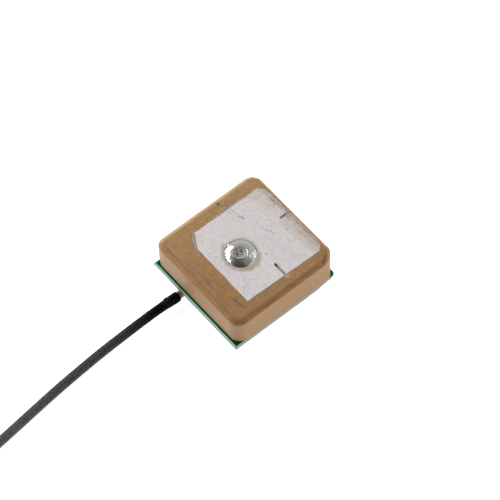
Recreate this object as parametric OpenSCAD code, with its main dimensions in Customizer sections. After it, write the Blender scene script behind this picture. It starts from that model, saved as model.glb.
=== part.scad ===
// Ceramic patch antenna for satellite positioning, with an amplifier board
// under a tinned shield can and a thin coaxial lead.
//
// Millimetres, +Z up. The origin is the bottom centre of the module: the
// shield can stands on z = 0. The lead leaves towards -Y.

/* [Ceramic block] */
// Side of the square ceramic block
ceramic_size = 15; // [14:0.1:16]
// Height of the ceramic block
ceramic_height = 4; // [3:0.1:5]
// Radius of the block's upright corners
ceramic_corner_r = 1.3; // [0.8:0.1:2]
// Radius of the one blunter corner at +X +Y
ceramic_blunt_r = 1.8; // [0.8:0.1:2.4]
// Width of the bevel round the top face
bevel_width = 0.45; // [0.2:0.05:0.7]
// Drop of the bevel round the top face
bevel_drop = 0.39; // [0.2:0.01:0.6]
// How far the block sits off the middle of the module, along Y
ceramic_shift = 0.1; // [0:0.05:0.2]

/* [Silver electrodes] */
// Width of the radiating patch at its -Y edge
patch_width = 11.1; // [9:0.1:12]
// Length of the radiating patch along Y
patch_length = 11.4; // [9:0.1:11.6]
// Y of the patch's -Y edge
patch_edge_y = -4.2; // [-5:0.1:-4]
// Thickness of the fired silver layers
silver_thickness = 0.03; // [0.02:0.01:0.05]
// Length of the tuning slit on the +X side
slit_x_length = 1.95; // [0.5:0.05:2.5]
// Length of the tuning slit on the +Y side
slit_y_length = 1.4; // [0.5:0.05:2]
// Width of the tuning slits
slit_width = 0.28; // [0.15:0.01:0.5]
// Side of the square ground electrode under the block
ground_size = 14; // [12:0.1:14.4]

/* [Feed] */
// Y of the feed pin's axis
feed_y = -0.75; // [-1.2:0.05:-0.4]
// Radius of the feed pin's shank
pin_r = 0.45; // [0.3:0.01:0.5]
// Radius of the feed pin's head
pin_head_r = 0.9; // [0.7:0.01:1]
// Height of the head's rim above the patch
pin_head_height = 0.36; // [0.3:0.01:0.5]
// How far the head's middle lies from the shank's axis along X
head_shift_x = 0.12; // [0:0.01:0.2]
// How far the head's middle lies from the shank's axis along Y
head_shift_y = -0.18; // [-0.25:0.01:0]
// Radius of the solder mound round the pin's head
mound_r = 1.9; // [1.5:0.05:2.2]
// How far the mound's middle lies from the shank's axis along X
mound_shift = 0.1; // [0:0.01:0.2]
// Height of the solder mound, if its middle were not the pin's head
mound_height = 0.42; // [0.35:0.01:0.5]

/* [Circuit board] */
// Size of the board along X
board_x = 14.8; // [14:0.1:15]
// Size of the board along Y
board_y = 15; // [14.4:0.1:15]
// Thickness of the board
board_thickness = 0.8; // [0.6:0.1:1]
// Thickness of the double-sided adhesive film under the block
film_thickness = 0.07; // [0.05:0.01:0.1]

/* [Shield can] */
// Size of the can along X
can_x = 12.8; // [12:0.1:13.2]
// Size of the can along Y
can_y = 10.2; // [9.8:0.1:10.4]
// Height of the board's underside above the surface the can stands on
can_height = 1.8; // [1.6:0.1:2.4]
// Thickness of the can's sheet
can_sheet = 0.2; // [0.15:0.01:0.25]

/* [Lead] */
// Diameter of the lead's jacket
lead_d = 1.13; // [1.1:0.01:1.16]
// X of the lead's axis where it reaches the board
lead_x = -2.75; // [-3:0.05:-2.5]
// Middle radius of the coil that the unseen length is wound into
coil_r = 6.2; // [6.1:0.05:6.3]

/* [Plug] */
// Radius of the plug's mouth, which snaps over a board socket
mouth_r = 1; // [0.95:0.01:1.05]
// Thickness of the plug shell's wall
shell_wall = 0.22; // [0.15:0.01:0.3]
// Height of the plug's round shell
shell_height = 1.9; // [1.8:0.05:2]
// Free depth of the mouth above the insulator
mouth_depth = 0.9; // [0.7:0.05:1]

/* [Hidden] */

// heights of the stack, from the standing surface up
board_z = can_height;
film_z = board_z + board_thickness;
ground_z = film_z + film_thickness;
block_z = ground_z + silver_thickness;
patch_z = block_z + ceramic_height;
mound_z = patch_z + silver_thickness;

// copper pads on the board's underside
pad_t = 0.035;
pad_z = board_z - pad_t;

can_y0 = 1.6;           // middle of the can along Y
can_corner = 0.6;
notch_w = 1.8;          // gap in the can's -Y wall over the output track
notch_h = 0.6;

// the components under the can: middle of each, and its quarter turn
amp_at = [3, 2.4];
filter_at = [-2.6, 2.6];
cap_at = [[1.5, -0.4, 90], [4.6, 0.2, 0], [0.9, 3.4, 90], [-0.6, 4.9, 0],
  [-4.7, 1.2, 90], [5, 4.9, 0]];
res_at = [[2.2, 4.9, 0], [-4.6, 4.4, 90]];
ind_at = [[2.9, 0.1, 0], [-2.75, -1.4, 90]];

// layers of the lead, by radius
jacket_r = lead_d / 2;
braid_r = 0.46;
dielectric_r = 0.34;
core_r = 0.12;
strip_z = pad_z - braid_r;     // the stripped end's axis: braid on its pad
jacket_y = -7.95;              // the jacket stops here
braid_y = -6.3;                // the braid stops here
dielectric_y = -5.65;          // the white dielectric stops here
core_y = -4.45;                // the centre conductor stops here

// the lead's own route: straight out, down to the surface, then along it
lead_route = [
  [lead_x, jacket_y, strip_z], [lead_x, -8.35, strip_z],
  [-2.78, -9.1, 1.3], [-2.82, -10, 1.28],
  [-2.87, -11.2, 1.22], [-2.91, -13.2, 1.1], [-2.95, -16.1, 0.87],
  [-2.94, -19.1, 0.66], [-2.77, -22.3, 0.57], [-2.5, -25.6, 0.565],
  [-2.15, -28.9, 0.565], [-1.75, -32.2, 0.565], [-1.45, -34.8, 0.57],
  [-1.2, -37.2, 0.6], [-1.05, -39.4, 0.64]];

// the coil: two turns side by side on the surface, a third pass on top,
// with the tie's band under it
tie_t = 0.1;
gap = 1.2;                               // from turn to turn
coil_c = [-7.8, -41.6];
coil_z = tie_t + jacket_r;               // axis of the turns that lie down
outer_r = coil_r + gap / 2;
inner_r = coil_r - gap / 2;
top_z = coil_z + sqrt(lead_d * lead_d - gap * gap / 4);

// clockwise from the +X side, as the lead runs
function on_coil(a, r, z) =
  [coil_c.x + r * cos(-a), coil_c.y + r * sin(-a), z];
function ease(t) = t <= 0 ? 0 : t >= 1 ? 1 : t * t * (3 - 2 * t);

// the tail climbs out of the inner turn on to the two turns, lies in the
// groove between them, and lifts a little into the plug
climb_a = 250;
lie_a = 325;
end_a = 437.5;
plug_lift = 0.715;                       // crimp axis over the plug's back
plug_z = tie_t + lead_d;                 // the plug's back lies on the turns
tail_end_z = plug_z + plug_lift;
tail_route = [for (a = [climb_a : 12.5 : end_a + 0.1])
  let (t = ease((a - climb_a) / (lie_a - climb_a)),
       u = ease((a - 395) / 42))
  on_coil(a, inner_r + t * (coil_r - inner_r) - u * 0.4,
    coil_z + t * (top_z - coil_z) + u * (tail_end_z - top_z))];
tail_end = tail_route[len(tail_route) - 1];
tail_dir = -end_a - 90;                  // heading of the tail at its end
grip = 1.25;                             // length of the jacket in the crimp
seat_r = mouth_r - 0.2;                  // the insulator's seat in the shell
shell_off = 3.1;                         // tail end to the plug's axis
plug_at = [tail_end.x + shell_off * cos(tail_dir),
           tail_end.y + shell_off * sin(tail_dir), plug_z];

// ---------------------------------------------------------------- helpers

// a square outline with its own radius at each corner, exact arcs
module soft_rect(x, y, r) {
  translate([-x / 2 + r, -y / 2]) square([x - 2 * r, y]);
  translate([-x / 2, -y / 2 + r]) square([x, y - 2 * r]);
  for (i = [-1, 1], j = [-1, 1])
    translate([i * (x / 2 - r), j * (y / 2 - r)]) circle(r, $fn = 48);
}

module bar(from, length, r, fn = 32) {
  translate(from) rotate([-90, 0, 0]) cylinder(h = length, r = r, $fn = fn);
}

// a tube of flat-sided rings swept along a route
function unit(v) = v / norm(v);
function heading(p, i) =
  unit(p[min(i + 1, len(p) - 1)] - p[max(i - 1, 0)]);
function ring(p, i, r, n) =
  let (d = heading(p, i), s = unit(cross(d, [0, 0, 1])), u = cross(s, d))
  [for (k = [0 : n - 1])
    p[i] + r * (cos(360 * k / n) * s + sin(360 * k / n) * u)];
module swept_tube(p, r, n = 8) {
  m = len(p);
  polyhedron(
    points = [for (i = [0 : m - 1]) each ring(p, i, r, n)],
    faces = concat(
      [[for (k = [0 : n - 1]) k]],
      [[for (k = [n - 1 : -1 : 0]) (m - 1) * n + k]],
      [for (i = [0 : m - 2], k = [0 : n - 1])
        [i * n + k, (i + 1) * n + k,
         (i + 1) * n + (k + 1) % n, i * n + (k + 1) % n]]),
    convexity = 8);
}

// ------------------------------------------------------------- the antenna

// one upright corner of the block, with its share of the top bevel
module corner_post(i, j, r) {
  translate([i * (ceramic_size / 2 - r), j * (ceramic_size / 2 - r), 0]) {
    cylinder(h = ceramic_height - bevel_drop, r = r, $fn = 48);
    translate([0, 0, ceramic_height - bevel_drop])
      cylinder(h = bevel_drop, r1 = r, r2 = r - bevel_width, $fn = 48);
  }
}

module ceramic_block() {
  color([0.64, 0.5, 0.36])
  difference() {
    translate([0, ceramic_shift, block_z]) hull() {
      corner_post(-1, -1, ceramic_corner_r);
      corner_post(1, -1, ceramic_corner_r);
      corner_post(-1, 1, ceramic_corner_r);
      corner_post(1, 1, ceramic_blunt_r);
    }
    translate([0, feed_y, block_z - 1])
      cylinder(h = ceramic_height + 2, r = 0.6, $fn = 48);
  }
}

// the fired patch: printed a little askew, trimmed at three corners and
// slit on two sides to tune it
module patch_electrode() {
  w = patch_width;
  y0 = patch_edge_y;
  y1 = y0 + patch_length;
  color([0.8, 0.79, 0.78])
  translate([0, 0, patch_z]) difference() {
    linear_extrude(silver_thickness) difference() {
      polygon([[-w / 2, y0 + 1.2], [-w / 2 + 1.9, y0 + 0.03],
        [w / 2 + 0.02, y0 - 0.03], [w / 2 + 0.24, y1 - 0.75],
        [w / 2 - 0.56, y1 - 0.08], [-0.6, y1], [-w / 2 + 0.92, y1 - 0.14],
        [-w / 2 + 0.07, y1 - 1.03]]);
      translate([w / 2 + 0.11 - slit_x_length, 1.4 - slit_width / 2])
        square([slit_x_length + 1, slit_width]);
      translate([-0.6 - slit_width / 2, y1 - slit_y_length])
        square([slit_width, slit_y_length + 1]);
    }
    translate([0, feed_y, -1]) cylinder(h = 2, r = 0.6, $fn = 48);
  }
}

module ground_electrode() {
  color([0.78, 0.77, 0.75])
  translate([0, 0, ground_z]) linear_extrude(silver_thickness) difference() {
    translate([0, ceramic_shift]) soft_rect(ground_size, ground_size, 1);
    translate([0, feed_y]) circle(1.6, $fn = 48);
  }
}

module adhesive_film() {
  color([0.86, 0.86, 0.82])
  translate([0, 0, film_z]) linear_extrude(film_thickness) difference() {
    translate([0, ceramic_shift])
      soft_rect(ground_size - 0.2, ground_size - 0.2, 0.9);
    translate([0, feed_y]) circle(1.2, $fn = 48);
  }
}

// a nail-shaped pin: broad dished head on the patch, a little to one side of
// the shank that goes through it all
module feed_pin() {
  color([0.75, 0.75, 0.74])
  translate([0, feed_y, 0]) difference() {
    union() {
      translate([0, 0, 0.85])
        cylinder(h = mound_z + 0.1 - 0.85, r = pin_r, $fn = 32);
      translate([head_shift_x, head_shift_y, mound_z])
        cylinder(h = pin_head_height, r = pin_head_r, $fn = 48);
    }
    translate([head_shift_x, head_shift_y, mound_z + pin_head_height + 5.96])
      sphere(r = 6, $fn = 96);
  }
}

module feed_solder() {
  cap_r = (mound_r * mound_r + mound_height * mound_height)
    / (2 * mound_height);
  color([0.7, 0.71, 0.71])
  translate([0, feed_y, mound_z]) difference() {
    intersection() {
      translate([mound_shift, 0, mound_height - cap_r])
        sphere(r = cap_r, $fn = 96);
      translate([mound_shift, 0]) cylinder(h = 2, r = 3, $fn = 48);
    }
    translate([head_shift_x, head_shift_y, -1])
      cylinder(h = 3, r = pin_head_r, $fn = 48);
  }
}

// ------------------------------------------------------------- the board

module circuit_board() {
  color([0.02, 0.42, 0.28])
  difference() {
    translate([0, -0.1, board_z]) linear_extrude(board_thickness)
      difference() {
        square([board_x, board_y], center = true);
        // the one corner that is broken round
        translate([board_x / 2 - 0.55, board_y / 2 - 0.55]) difference() {
          square(1);
          circle(0.55, $fn = 48);
        }
      }
    translate([0, feed_y, board_z - 1])
      cylinder(h = 3, r = 0.52, $fn = 48);
  }
}

// tinned copper on the underside: a ring for the can with a gap for the
// output track, the lead's two pads, the pin's land, a pad under each
// soldered end of a component
module contact_pads() {
  color([0.78, 0.78, 0.76])
  translate([0, 0, pad_z]) linear_extrude(pad_t) {
    difference() {
      translate([0, can_y0]) soft_rect(can_x + 0.5, can_y + 0.5, 0.8);
      translate([0, can_y0]) soft_rect(can_x - 1, can_y - 1, 0.4);
      translate([lead_x - notch_w / 2, can_y0 - can_y / 2 - 1])
        square([notch_w, 2]);
    }
    translate([lead_x - 1.7, -7.3]) square([3.4, 1.5]);
    translate([lead_x - 0.5, -5.15]) square([1, 1]);
    difference() {
      translate([0, feed_y]) circle(0.95, $fn = 48);
      translate([0, feed_y]) circle(0.52, $fn = 48);
    }
    for (c = concat(cap_at, res_at, ind_at))
      translate([c[0], c[1]]) rotate(c[2])
        for (s = [-0.62, 0.22]) translate([s, -0.3]) square([0.4, 0.6]);
    for (s = [-1, 1], k = [-0.65, 0, 0.65])
      translate([amp_at.x + s * 1.02, amp_at.y + k])
        square([0.4, 0.34], center = true);
    for (i = [-1, 1], j = [-1, 0, 1])
      translate([filter_at.x + i * 0.78, filter_at.y + j * 0.58])
        square([0.5, 0.4], center = true);
  }
}

module pin_solder_joint() {
  color([0.72, 0.73, 0.73])
  translate([0, feed_y, pad_z]) mirror([0, 0, 1])
    rotate_extrude($fn = 48)
      polygon([[pin_r, 0], [0.9, 0], [0.72, 0.14], [0.6, 0.34],
        [0.53, 0.6], [pin_r, 0.66]]);
}

// small-outline amplifier, its top towards the can
module amplifier_body() {
  color([0.12, 0.12, 0.13])
  translate([amp_at.x, amp_at.y, pad_z - 0.1 - 0.8]) difference() {
    translate([-0.625, -1, 0]) cube([1.25, 2, 0.8]);
    translate([-0.38, 0.75, -0.01]) cylinder(h = 0.06, r = 0.1, $fn = 24);
  }
}

module amplifier_leads() {
  color([0.75, 0.75, 0.73])
  for (s = [0, 1], k = [-0.65, 0, 0.65])
    translate([amp_at.x, amp_at.y + k + 0.1, pad_z]) mirror([s, 0, 0])
      rotate([90, 0, 0]) linear_extrude(0.2)
        polygon([[0.625, -0.55], [0.85, -0.55], [0.85, -0.12],
          [1.15, -0.12], [1.15, 0], [0.73, 0], [0.73, -0.43],
          [0.625, -0.43]]);
}

module filter_base() {
  color([0.86, 0.82, 0.72])
  translate([filter_at.x - 1, filter_at.y - 0.8, pad_z - 0.45])
    cube([2, 1.6, 0.45]);
}

module filter_lid() {
  color([0.8, 0.74, 0.5])
  translate([filter_at.x, filter_at.y, pad_z - 0.65])
    linear_extrude(0.2) soft_rect(1.75, 1.35, 0.15);
}

// one chip part: body between two wrapped ends
module chip_body(at, thick) {
  translate([at[0], at[1], pad_z - thick]) rotate([0, 0, at[2]])
    translate([-0.27, -0.23, 0]) cube([0.54, 0.46, thick]);
}
module chip_ends(at, thick) {
  translate([at[0], at[1], pad_z - thick - 0.01]) rotate([0, 0, at[2]])
    for (s = [-0.5, 0.27])
      translate([s, -0.25, 0]) cube([0.23, 0.5, thick + 0.01]);
}

module chip_capacitors() {
  color([0.62, 0.5, 0.38]) for (c = cap_at) chip_body(c, 0.48);
}
module chip_resistors() {
  color([0.1, 0.1, 0.1]) for (c = res_at) chip_body(c, 0.33);
}
module chip_inductors() {
  color([0.8, 0.84, 0.86]) for (c = ind_at) chip_body(c, 0.5);
}
module component_end_caps() {
  color([0.76, 0.76, 0.75]) {
    for (c = cap_at) chip_ends(c, 0.48);
    for (c = res_at) chip_ends(c, 0.33);
    for (c = ind_at) chip_ends(c, 0.5);
  }
}

// ----------------------------------------------------------- shield can

// a drawn box: rounded upright corners and a rounded edge to its flat face
module drawn_box(x, y, h, r, e) {
  hull() for (i = [-1, 1], j = [-1, 1])
    translate([i * (x / 2 - r), j * (y / 2 - r), 0])
      rotate_extrude($fn = 32)
        polygon([[0, 0], [r - e, 0], [r - 0.62 * e, 0.07 * e],
          [r - 0.29 * e, 0.29 * e], [r - 0.07 * e, 0.62 * e], [r, e],
          [r, h], [0, h]]);
}

module shield_can() {
  color([0.74, 0.75, 0.76])
  translate([0, can_y0, 0]) difference() {
    drawn_box(can_x, can_y, pad_z, can_corner, 0.3);
    translate([0, 0, can_sheet])
      drawn_box(can_x - 2 * can_sheet, can_y - 2 * can_sheet, pad_z,
        can_corner - can_sheet, 0.15);
    translate([lead_x - notch_w / 2, -can_y / 2 - 1, pad_z - notch_h])
      cube([notch_w, 2, 2]);
  }
}

// solder tacks in the corner between the can's wall and its ring of pad
module shield_solder() {
  color([0.72, 0.73, 0.73])
  difference() {
    for (p = [[-4.6, -1], [0.6, -1], [4.6, -1], [-4.6, 1], [0, 1], [4.6, 1]])
      translate([p[0], can_y0 + p[1] * can_y / 2, pad_z - 0.4])
        cylinder(h = 0.4, r1 = 0.12, r2 = 0.24, $fn = 32);
    translate([-can_x / 2, can_y0 - can_y / 2, -1])
      cube([can_x, can_y, 4]);
  }
}

// --------------------------------------------------- the lead's fixed end

module coax_braid() {
  color([0.72, 0.71, 0.69])
  difference() {
    bar([lead_x, jacket_y, strip_z], braid_y - jacket_y, braid_r);
    bar([lead_x, jacket_y - 1, strip_z], braid_y - jacket_y + 2,
      dielectric_r);
  }
}

// solder that floods the braid on to its pad
module braid_solder() {
  color([0.72, 0.73, 0.73])
  difference() {
    hull() {
      translate([lead_x - 1.25, -7.15, pad_z - 0.06]) cube([2.5, 1.2, 0.06]);
      translate([lead_x, -7, strip_z]) rotate([-90, 0, 0])
        cylinder(h = 0.9, r = braid_r + 0.07, $fn = 32);
    }
    bar([lead_x, -9, strip_z], 4, braid_r);
    translate([lead_x - 3, -9, strip_z - 3 - 0.3]) cube([6, 5, 3]);
    translate([lead_x - 3, -9, pad_z]) cube([6, 5, 3]);
  }
}

module coax_dielectric() {
  color([0.93, 0.93, 0.9])
  difference() {
    bar([lead_x, jacket_y, strip_z], dielectric_y - jacket_y, dielectric_r);
    bar([lead_x, jacket_y - 1, strip_z], dielectric_y - jacket_y + 2,
      core_r);
  }
}

// the bare core rises from the dielectric to its pad
core_z = pad_z - core_r - 0.03;
core_route = [[lead_x, jacket_y, strip_z], [lead_x, -5.6, strip_z],
  [lead_x, -5.45, strip_z + 0.05], [lead_x, -5.25, core_z - 0.04],
  [lead_x, -5.1, core_z], [lead_x, core_y, core_z]];
module core_shape() {
  swept_tube(core_route, core_r);
}

module centre_conductor() {
  color([0.8, 0.62, 0.42]) core_shape();
}

module centre_solder() {
  color([0.72, 0.73, 0.73])
  difference() {
    intersection() {
      translate([lead_x, -4.65, pad_z + 0.12]) sphere(r = 0.46, $fn = 48);
      translate([lead_x - 1, -5.6, 0]) cube([2, 2, pad_z]);
    }
    bar([lead_x, -5.6, core_z], core_y + 5.6, core_r, 24);
  }
}

// ---------------------------------------------------------- the free lead

module coax_lead() {
  color([0.1, 0.1, 0.11])
    swept_tube(concat(lead_route, [on_coil(0, outer_r, coil_z)]), jacket_r);
}

// the outer shape of the two turns that lie side by side
module coax_coil() {
  color([0.1, 0.1, 0.11])
  translate([coil_c.x, coil_c.y, tie_t]) rotate_extrude($fn = 96) {
    translate([outer_r, jacket_r]) circle(jacket_r, $fn = 24);
    translate([inner_r, jacket_r]) circle(jacket_r, $fn = 24);
    translate([inner_r, 0]) square([gap, lead_d]);
  }
}

module coax_tail() {
  tip = tail_end + grip * [cos(tail_dir), sin(tail_dir), 0];
  color([0.1, 0.1, 0.11]) swept_tube(concat(tail_route, [tip]), jacket_r);
}

// a paper-covered wire tie: one band round all three passes, its ends
// twisted together on the outside
tie_a = 28;
module coil_tie() {
  a0 = -tie_a - 9;
  color([0.85, 0.85, 0.83])
  translate([coil_c.x, coil_c.y, 0]) {
    rotate([0, 0, a0]) rotate_extrude(angle = 18, $fn = 96)
      difference() {
        hull() {
          translate([outer_r, coil_z]) circle(jacket_r + tie_t, $fn = 24);
          translate([inner_r, coil_z]) circle(jacket_r + tie_t, $fn = 24);
          translate([coil_r, top_z]) circle(jacket_r + tie_t, $fn = 24);
        }
        hull() {
          translate([outer_r, coil_z]) circle(jacket_r + 0.01, $fn = 24);
          translate([inner_r, coil_z]) circle(jacket_r + 0.01, $fn = 24);
          translate([coil_r, top_z]) circle(jacket_r + 0.01, $fn = 24);
        }
      }
    rotate([0, 0, -tie_a]) translate([outer_r + jacket_r + 0.05, 0, 0.5])
      rotate([0, 90, 0]) linear_extrude(height = 4, twist = 1080, slices = 40)
        for (s = [-1, 1]) translate([s * 0.2, 0]) circle(0.24, $fn = 12);
  }
}

// --------------------------------------------------------------- the plug

// the plug lies on its back: flat back down, mouth up, cable side at -X
module at_plug() {
  translate(plug_at) rotate([0, 0, tail_dir]) children();
}

module plug_shell() {
  o = mouth_r + shell_wall;
  color([0.82, 0.72, 0.46])
  at_plug() difference() {
    union() {
      cylinder(h = shell_height, r = o, $fn = 64);
      // neck and the folded barrel that grips the jacket
      translate([-shell_off, -0.72, 0]) cube([shell_off - 0.7, 1.44, 0.15]);
      translate([-shell_off, 0, plug_lift]) rotate([0, 90, 0])
        cylinder(h = grip, r = plug_lift, $fn = 32);
      translate([-shell_off + grip, -0.6, 0]) cube([1.1, 1.2, 1.1]);
    }
    // mouth, and the narrower room under it for the insulator
    translate([0, 0, shell_height - mouth_depth])
      cylinder(h = shell_height, r = mouth_r, $fn = 64);
    translate([0, 0, 0.2])
      cylinder(h = shell_height, r = seat_r, $fn = 64);
    // bore of the barrel and of the neck
    translate([-shell_off - 1, 0, plug_lift]) rotate([0, 90, 0])
      cylinder(h = grip + 1, r = jacket_r, $fn = 32);
    translate([-shell_off, 0, plug_lift]) rotate([0, 90, 0])
      cylinder(h = shell_off, r = braid_r, $fn = 32);
    // slot in the mouth over the cable
    translate([-2, -0.25, 1.25]) cube([2, 0.5, 2]);
    // flared lip
    translate([0, 0, shell_height - 0.12])
      cylinder(h = 0.121, r1 = mouth_r, r2 = mouth_r + 0.1, $fn = 64);
  }
}

module plug_insulator() {
  top = shell_height - mouth_depth - 0.15;
  color([0.9, 0.89, 0.84])
  at_plug() difference() {
    union() {
      translate([0, 0, 0.2])
        cylinder(h = top - 0.2, r = seat_r, $fn = 64);
      translate([-shell_off + grip, 0, plug_lift]) rotate([0, 90, 0])
        cylinder(h = 1.2, r = braid_r, $fn = 32);
    }
    translate([0, 0, 0.45]) cylinder(h = 3, r = 0.36, $fn = 32);
    translate([-shell_off, 0, plug_lift]) rotate([0, 90, 0])
      cylinder(h = shell_off - 0.3, r = core_r, $fn = 24);
    // nothing of it stands up into the mouth
    translate([0, 0, top]) cylinder(h = 2, r = mouth_r, $fn = 64);
  }
}

// the sprung centre contact, open towards the mouth
module plug_contact() {
  top = shell_height - mouth_depth - 0.15;
  color([0.85, 0.72, 0.4])
  at_plug() {
    translate([0, 0, 0.45]) difference() {
      cylinder(h = top - 0.45, r = 0.36, $fn = 32);
      translate([0, 0, 0.2]) cylinder(h = 2, r = 0.24, $fn = 32);
    }
    translate([-shell_off + grip, 0, plug_lift]) rotate([0, 90, 0])
      cylinder(h = shell_off - grip - 0.3, r = core_r, $fn = 24);
  }
}

ceramic_block();
patch_electrode();
ground_electrode();
adhesive_film();
feed_pin();
feed_solder();
circuit_board();
contact_pads();
pin_solder_joint();
amplifier_body();
amplifier_leads();
filter_base();
filter_lid();
chip_capacitors();
chip_resistors();
chip_inductors();
component_end_caps();
shield_can();
shield_solder();
coax_braid();
braid_solder();
coax_dielectric();
centre_conductor();
centre_solder();
coax_lead();
coax_coil();
coax_tail();
coil_tie();
plug_shell();
plug_insulator();
plug_contact();
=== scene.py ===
import bpy, bmesh, math
import numpy as np
from mathutils import Vector, Matrix
from mathutils.geometry import delaunay_2d_cdt


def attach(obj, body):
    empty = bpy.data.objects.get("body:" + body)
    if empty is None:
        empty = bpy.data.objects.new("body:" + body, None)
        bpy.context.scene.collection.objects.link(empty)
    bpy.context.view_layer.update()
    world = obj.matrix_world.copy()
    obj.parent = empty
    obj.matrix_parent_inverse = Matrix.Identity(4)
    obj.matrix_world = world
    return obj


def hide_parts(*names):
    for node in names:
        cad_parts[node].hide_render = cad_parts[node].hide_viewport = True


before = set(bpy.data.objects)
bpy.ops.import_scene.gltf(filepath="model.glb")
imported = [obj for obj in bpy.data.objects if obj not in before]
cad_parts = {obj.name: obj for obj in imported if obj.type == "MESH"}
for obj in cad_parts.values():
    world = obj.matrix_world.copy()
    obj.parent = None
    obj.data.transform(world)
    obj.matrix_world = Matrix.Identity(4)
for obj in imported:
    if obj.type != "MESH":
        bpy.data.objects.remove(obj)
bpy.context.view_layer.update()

MM = 0.001
scene = bpy.context.scene
scene.view_settings.view_transform = "Standard"

# ------------------------------------------------------------------ camera

right = Vector((0.63994745, 0.76817639, -0.01929475))
down = Vector((0.65324313, -0.55707922, -0.51277301))
ahead = Vector((-0.40464883, 0.31554361, -0.85830738))
EYE = Vector((153.9197, -119.2816, 332.2532))
cam_data = bpy.data.cameras.new("camera")
cam = bpy.data.objects.new("camera", cam_data)
scene.collection.objects.link(cam)
cam.matrix_world = Matrix((
    (right.x, -down.x, -ahead.x, EYE.x * MM),
    (right.y, -down.y, -ahead.y, EYE.y * MM),
    (right.z, -down.z, -ahead.z, EYE.z * MM),
    (0, 0, 0, 1)))
cam_data.sensor_width = 36
cam_data.lens = 236.09
cam_data.clip_start, cam_data.clip_end = 0.01, 20
scene.camera = cam
FOCAL = cam_data.lens / cam_data.sensor_width * 500


def px(u, v, z):
    """The point at height z under the photograph's point u, v."""
    d = ahead * FOCAL + right * (u - 250) + down * (v - 250)
    t = (z - EYE.z) / d.z
    return (EYE.x + t * d.x, EYE.y + t * d.y)


# ------------------------------------------------------- numbers and noise

TABLE = np.random.RandomState(5).rand(256, 256)


def vnoise(x, y, seed=0):
    x = np.asarray(x, float) + 13.7 * seed
    y = np.asarray(y, float) + 7.3 * seed
    i, j = np.floor(x).astype(int), np.floor(y).astype(int)
    u, v = x - i, y - j
    u, v = u * u * (3 - 2 * u), v * v * (3 - 2 * v)

    def t(a, b):
        return TABLE[a & 255, b & 255]
    return ((t(i, j) * (1 - u) + t(i + 1, j) * u) * (1 - v)
            + (t(i, j + 1) * (1 - u) + t(i + 1, j + 1) * u) * v)


def fbm(x, y, seed=0, octaves=4):
    total, amp, full = 0, 0.5, 0
    for k in range(octaves):
        total = total + amp * vnoise(x * 2 ** k, y * 2 ** k, seed + k)
        full += amp
        amp /= 2
    return total / full


def smooth(a, b, x):
    t = np.clip((np.asarray(x, float) - a) / (b - a), 0, 1)
    return t * t * (3 - 2 * t)


def near(P, line):
    """Distance of each point from a line of points."""
    best = np.full(len(P), 1e9)
    for a, b in zip(line[:-1], line[1:]):
        a, b = np.array(a, float), np.array(b, float)
        d = b - a
        t = np.clip(((P - a) @ d) / max(d @ d, 1e-12), 0, 1)
        best = np.minimum(best, np.hypot(*(P - a - t[:, None] * d).T))
    return best


def inside(P, poly):
    """Which points lie in a closed polygon."""
    x, y = P[:, 0], P[:, 1]
    hit = np.zeros(len(P), bool)
    for (x0, y0), (x1, y1) in zip(poly, np.roll(poly, -1, axis=0)):
        if y0 == y1:
            continue
        cross = (y0 > y) != (y1 > y)
        hit ^= cross & (x < (x1 - x0) * (y - y0) / (y1 - y0) + x0)
    return hit


def strokes(P, z, marks, seed=0):
    """How strongly each point lies in given marks: each is its
    points in the photograph, half width in mm, strength."""
    out = np.zeros(len(P))
    for k, (line, w, strength) in enumerate(marks):
        line = [px(u, v, z) for u, v in line]
        if len(line) == 1:
            line = line * 2
        d = near(P, line)
        n = fbm(P[:, 0] * 5, P[:, 1] * 5, seed + k * 3, 3)
        w2 = w * (0.55 + 0.9 * n)
        v = strength * (1 - smooth(w2 * 0.45, w2 * 1.5, d)) * (0.55 + 0.75 * n)
        out = np.maximum(out, v)
    return out


# ------------------------------------------------------------------ meshes

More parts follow.
